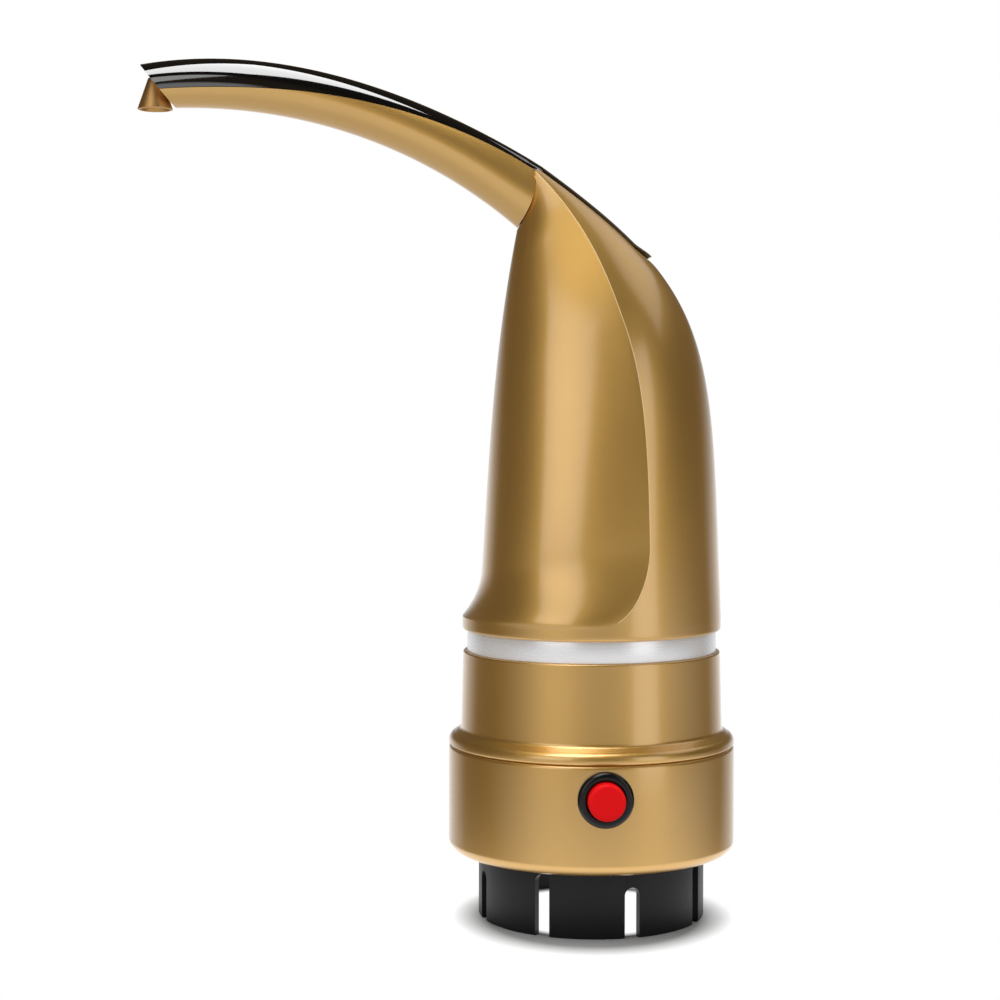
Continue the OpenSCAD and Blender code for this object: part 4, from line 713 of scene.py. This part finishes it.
# Delivery hose: a tube of extruded silicone from the pump's outlet, up through the housing and
# along the spout to the nozzle. A clip holds it at each end.

# Silicone rubber, extruded without pigment: milky, with a soft shine, and it lets some light through
silicone = surface("milky_silicone", "#dfe6e8", "#d3dcdf", 12, 0.8, (0.3, 0.4), 0.006, IOR=1.41,
                   Transmission_Weight=0.35)
dress(["delivery_hose"], silicone)
dress(["hose_clips"], zinc_plate)


# Studio: a pale floor that runs out into a white surround, two tall soft boxes in front, one
# overhead and a weak one behind at the right. The camera stands in front, level with the housing.
# Places and sizes are in metres.

CAMERA_AT, CAMERA_TILT, SENSOR_W, LENS = (-0.0243, -0.535, 0.132), 2.33, 36.0, 72.54
FLOOR_R, AIM, BOX_DISTANCE = 0.085, Vector((-0.02, 0, 0.12)), 1.0
# Shift, stretch and fade of the painted shadow: the ring round the collar where the floor's glow is
# held back
PAINTED_SHADOW_SHIFT, PAINTED_SHADOW_SCALE, PAINTED_SHADOW_FADE = (0, 0.005, 0), (1.12, 1, 1), (0.0315, 0.042)
# Fade of the painted light within the collar, where the floor glows white in the collar's shade
COLLAR_PAINTED_GLOW_FADE, FLOOR_GLOW = (0.0275, 0.024), 0.8

camera = bpy.data.objects.new("camera", bpy.data.cameras.new("camera"))
camera.data.sensor_width, camera.data.lens = SENSOR_W, LENS
camera.data.clip_start, camera.data.clip_end = 0.01, 50.0
camera.location = CAMERA_AT
camera.rotation_euler = (math.radians(90 - CAMERA_TILT), 0, 0)
bpy.context.scene.collection.objects.link(camera)
bpy.context.scene.camera = camera
bpy.context.scene.view_settings.view_transform = "Standard"

ground = bmesh.new()
bmesh.ops.create_circle(ground, cap_ends=True, segments=128, radius=FLOOR_R)
mesh = bpy.data.meshes.new("floor")
ground.to_mesh(mesh)
ground.free()
floor = bpy.data.objects.new("floor", mesh)
bpy.context.scene.collection.objects.link(floor)

# Matt studio vinyl, calendered, in pale grey. It glows white to the camera and to gloss, so that it
# runs out into the white surround, but the glow is held back in a ring round the collar. Shade
# falls there in truth, but the ring's size, its shift to the front and its stretch sideways are
# painted shadow. Within the collar the floor glows white too: painted light where the collar's
# shade falls.
vinyl = bpy.data.materials.new("white_vinyl")
vinyl.use_nodes = True
tree = vinyl.node_tree
shader = tree.nodes["Principled BSDF"]
shader.inputs["Base Color"].default_value = srgb("#acacac")
shader.inputs["Roughness"].default_value = 0.7
shader.inputs["Emission Color"].default_value = srgb("#ffffff")
place = add(tree, "ShaderNodeTexCoord")
# Painted shadow: the ring without glow round the collar, shifted to the front and stretched sideways
lean = add(tree, "ShaderNodeMapping", {"Vector": place.outputs["Object"], "Location": PAINTED_SHADOW_SHIFT,
                                       "Scale": PAINTED_SHADOW_SCALE})
spread = add(tree, "ShaderNodeVectorMath", {0: lean.outputs["Vector"]}, operation="LENGTH")
around = add(tree, "ShaderNodeMapRange", {"Value": spread.outputs["Value"],
                                          "From Min": PAINTED_SHADOW_FADE[0],
                                          "From Max": PAINTED_SHADOW_FADE[1], "To Max": FLOOR_GLOW})
centre = add(tree, "ShaderNodeVectorMath", {0: place.outputs["Object"]}, operation="LENGTH")
# Painted light: the floor within the collar glows white, where the collar's shade falls
within = add(tree, "ShaderNodeMapRange", {"Value": centre.outputs["Value"],
                                          "From Min": COLLAR_PAINTED_GLOW_FADE[0],
                                          "From Max": COLLAR_PAINTED_GLOW_FADE[1]})
glow = add(tree, "ShaderNodeMath", {0: around.outputs["Result"], 1: within.outputs["Result"]},
           operation="MAXIMUM")
path = add(tree, "ShaderNodeLightPath")
seen = add(tree, "ShaderNodeMath", {0: path.outputs["Is Camera Ray"],
                                    1: path.outputs["Is Glossy Ray"]}, operation="MAXIMUM")
seen = add(tree, "ShaderNodeMath", {0: seen.outputs[0], 1: path.outputs["Is Transmission Ray"]},
           operation="MAXIMUM")
lift = add(tree, "ShaderNodeMath", {0: seen.outputs[0], 1: glow.outputs[0]}, operation="MULTIPLY")
tree.links.new(lift.outputs[0], shader.inputs["Emission Strength"])
mesh.materials.append(vinyl)


def soft_box(name, azimuth, elevation, width, height, level):
    """A rectangular lamp that faces the object; level is how bright it looks, where 1 is white."""
    data = bpy.data.lights.new(name, "AREA")
    data.shape, data.size, data.size_y = "RECTANGLE", width, height
    data.energy = level * math.pi * width * height
    lamp = bpy.data.objects.new(name, data)
    a, e = math.radians(azimuth), math.radians(elevation)
    away = Vector((math.sin(a) * math.cos(e), -math.cos(a) * math.cos(e), math.sin(e)))
    lamp.location = AIM + away * BOX_DISTANCE
    lamp.rotation_euler = away.to_track_quat("Z", "Y").to_euler()
    bpy.context.scene.collection.objects.link(lamp)


soft_box("left_box", -33.5, 17.5, 0.62, 0.72, 1.48)
soft_box("right_box", 46, 12, 0.44, 0.8, 1.27)
soft_box("top_box", -32, 75.5, 0.48, 0.88, 4.8)
soft_box("back_box", 110, 47, 0.9, 0.45, 0.8)

# The surround is white to the camera. Gloss sees a backdrop behind the object, which fades above
# and at its foot, a pale floor low in front and deep down, and a dim, warm room everywhere else.
WHITE, WARM, DIFFUSE_LEVEL, FRONT = srgb("#ffffff"), srgb("#ffdaaa"), 0.5, (0.25, -0.97, 0.0)

world = bpy.data.worlds.new("studio")
bpy.context.scene.world = world
world.use_nodes = True
tree = world.node_tree
sky = tree.nodes["Background"]
place = add(tree, "ShaderNodeTexCoord")
parts = add(tree, "ShaderNodeSeparateXYZ", {"Vector": place.outputs["Generated"]})
behind = add(tree, "ShaderNodeMapRange", {"Value": parts.outputs["Y"], "From Min": 0.55,
                                          "From Max": 0.95, "To Min": 0.0, "To Max": 0.93})
under = add(tree, "ShaderNodeMapRange", {"Value": parts.outputs["Z"], "From Min": -0.05,
                                         "From Max": 0.18, "To Min": 1.0, "To Max": 0.0})
foot = add(tree, "ShaderNodeMapRange", {"Value": parts.outputs["Z"], "From Min": -0.45,
                                        "From Max": -0.15, "To Min": 0.25, "To Max": 1.0})
drop = add(tree, "ShaderNodeMath", {0: behind.outputs["Result"], 1: under.outputs["Result"]},
           operation="MULTIPLY")
drop = add(tree, "ShaderNodeMath", {0: drop.outputs[0], 1: foot.outputs["Result"]},
           operation="MULTIPLY")
facing = add(tree, "ShaderNodeVectorMath", {0: place.outputs["Generated"], 1: FRONT},
             operation="DOT_PRODUCT")
ahead = add(tree, "ShaderNodeMapRange", {"Value": facing.outputs["Value"], "From Min": -0.3,
                                         "From Max": 0.5, "To Min": 0.0, "To Max": 1.0})
low = add(tree, "ShaderNodeMapRange", {"Value": parts.outputs["Z"], "From Min": 0.0,
                                       "From Max": -0.16, "To Min": 0.0, "To Max": 0.74})
near = add(tree, "ShaderNodeMath", {0: ahead.outputs["Result"], 1: low.outputs["Result"]},
           operation="MULTIPLY")
deep = add(tree, "ShaderNodeMapRange", {"Value": parts.outputs["Z"], "From Min": -0.15,
                                        "From Max": -0.6, "To Min": 0.0, "To Max": 0.55})
near = add(tree, "ShaderNodeMath", {0: near.outputs[0], 1: deep.outputs["Result"]},
           operation="MAXIMUM")
dim = add(tree, "ShaderNodeMapRange", {"Value": parts.outputs["Z"], "From Min": 0.3,
                                       "From Max": 0.6, "To Min": 0.12, "To Max": 0.03})
shade = add(tree, "ShaderNodeMapRange", {"Value": ahead.outputs["Result"], "To Min": 1.0,
                                         "To Max": 0.45})
dim = add(tree, "ShaderNodeMath", {0: dim.outputs["Result"], 1: shade.outputs["Result"]},
          operation="MULTIPLY")
room = add(tree, "ShaderNodeMath", {0: drop.outputs[0], 1: near.outputs[0]}, operation="ADD")
room = add(tree, "ShaderNodeMath", {0: room.outputs[0], 1: dim.outputs[0]}, operation="ADD")
path = add(tree, "ShaderNodeLightPath")
shine = add(tree, "ShaderNodeMath", {0: path.outputs["Is Glossy Ray"],
                                     1: path.outputs["Is Transmission Ray"]}, operation="MAXIMUM")
level = add(tree, "ShaderNodeMapRange", {"Value": shine.outputs[0], "To Min": DIFFUSE_LEVEL,
                                         "To Max": room.outputs[0]})
level = add(tree, "ShaderNodeMath", {0: level.outputs["Result"], 1: path.outputs["Is Camera Ray"]},
            operation="MAXIMUM")
lit = add(tree, "ShaderNodeMapRange", {"Value": level.outputs[0], "From Min": 0.12,
                                       "From Max": 0.35})
tint = add(tree, "ShaderNodeMixRGB", {"Fac": lit.outputs["Result"], "Color1": WARM,
                                      "Color2": WHITE})
tree.links.new(level.outputs[0], sky.inputs["Strength"])
tree.links.new(tint.outputs["Color"], sky.inputs["Color"])
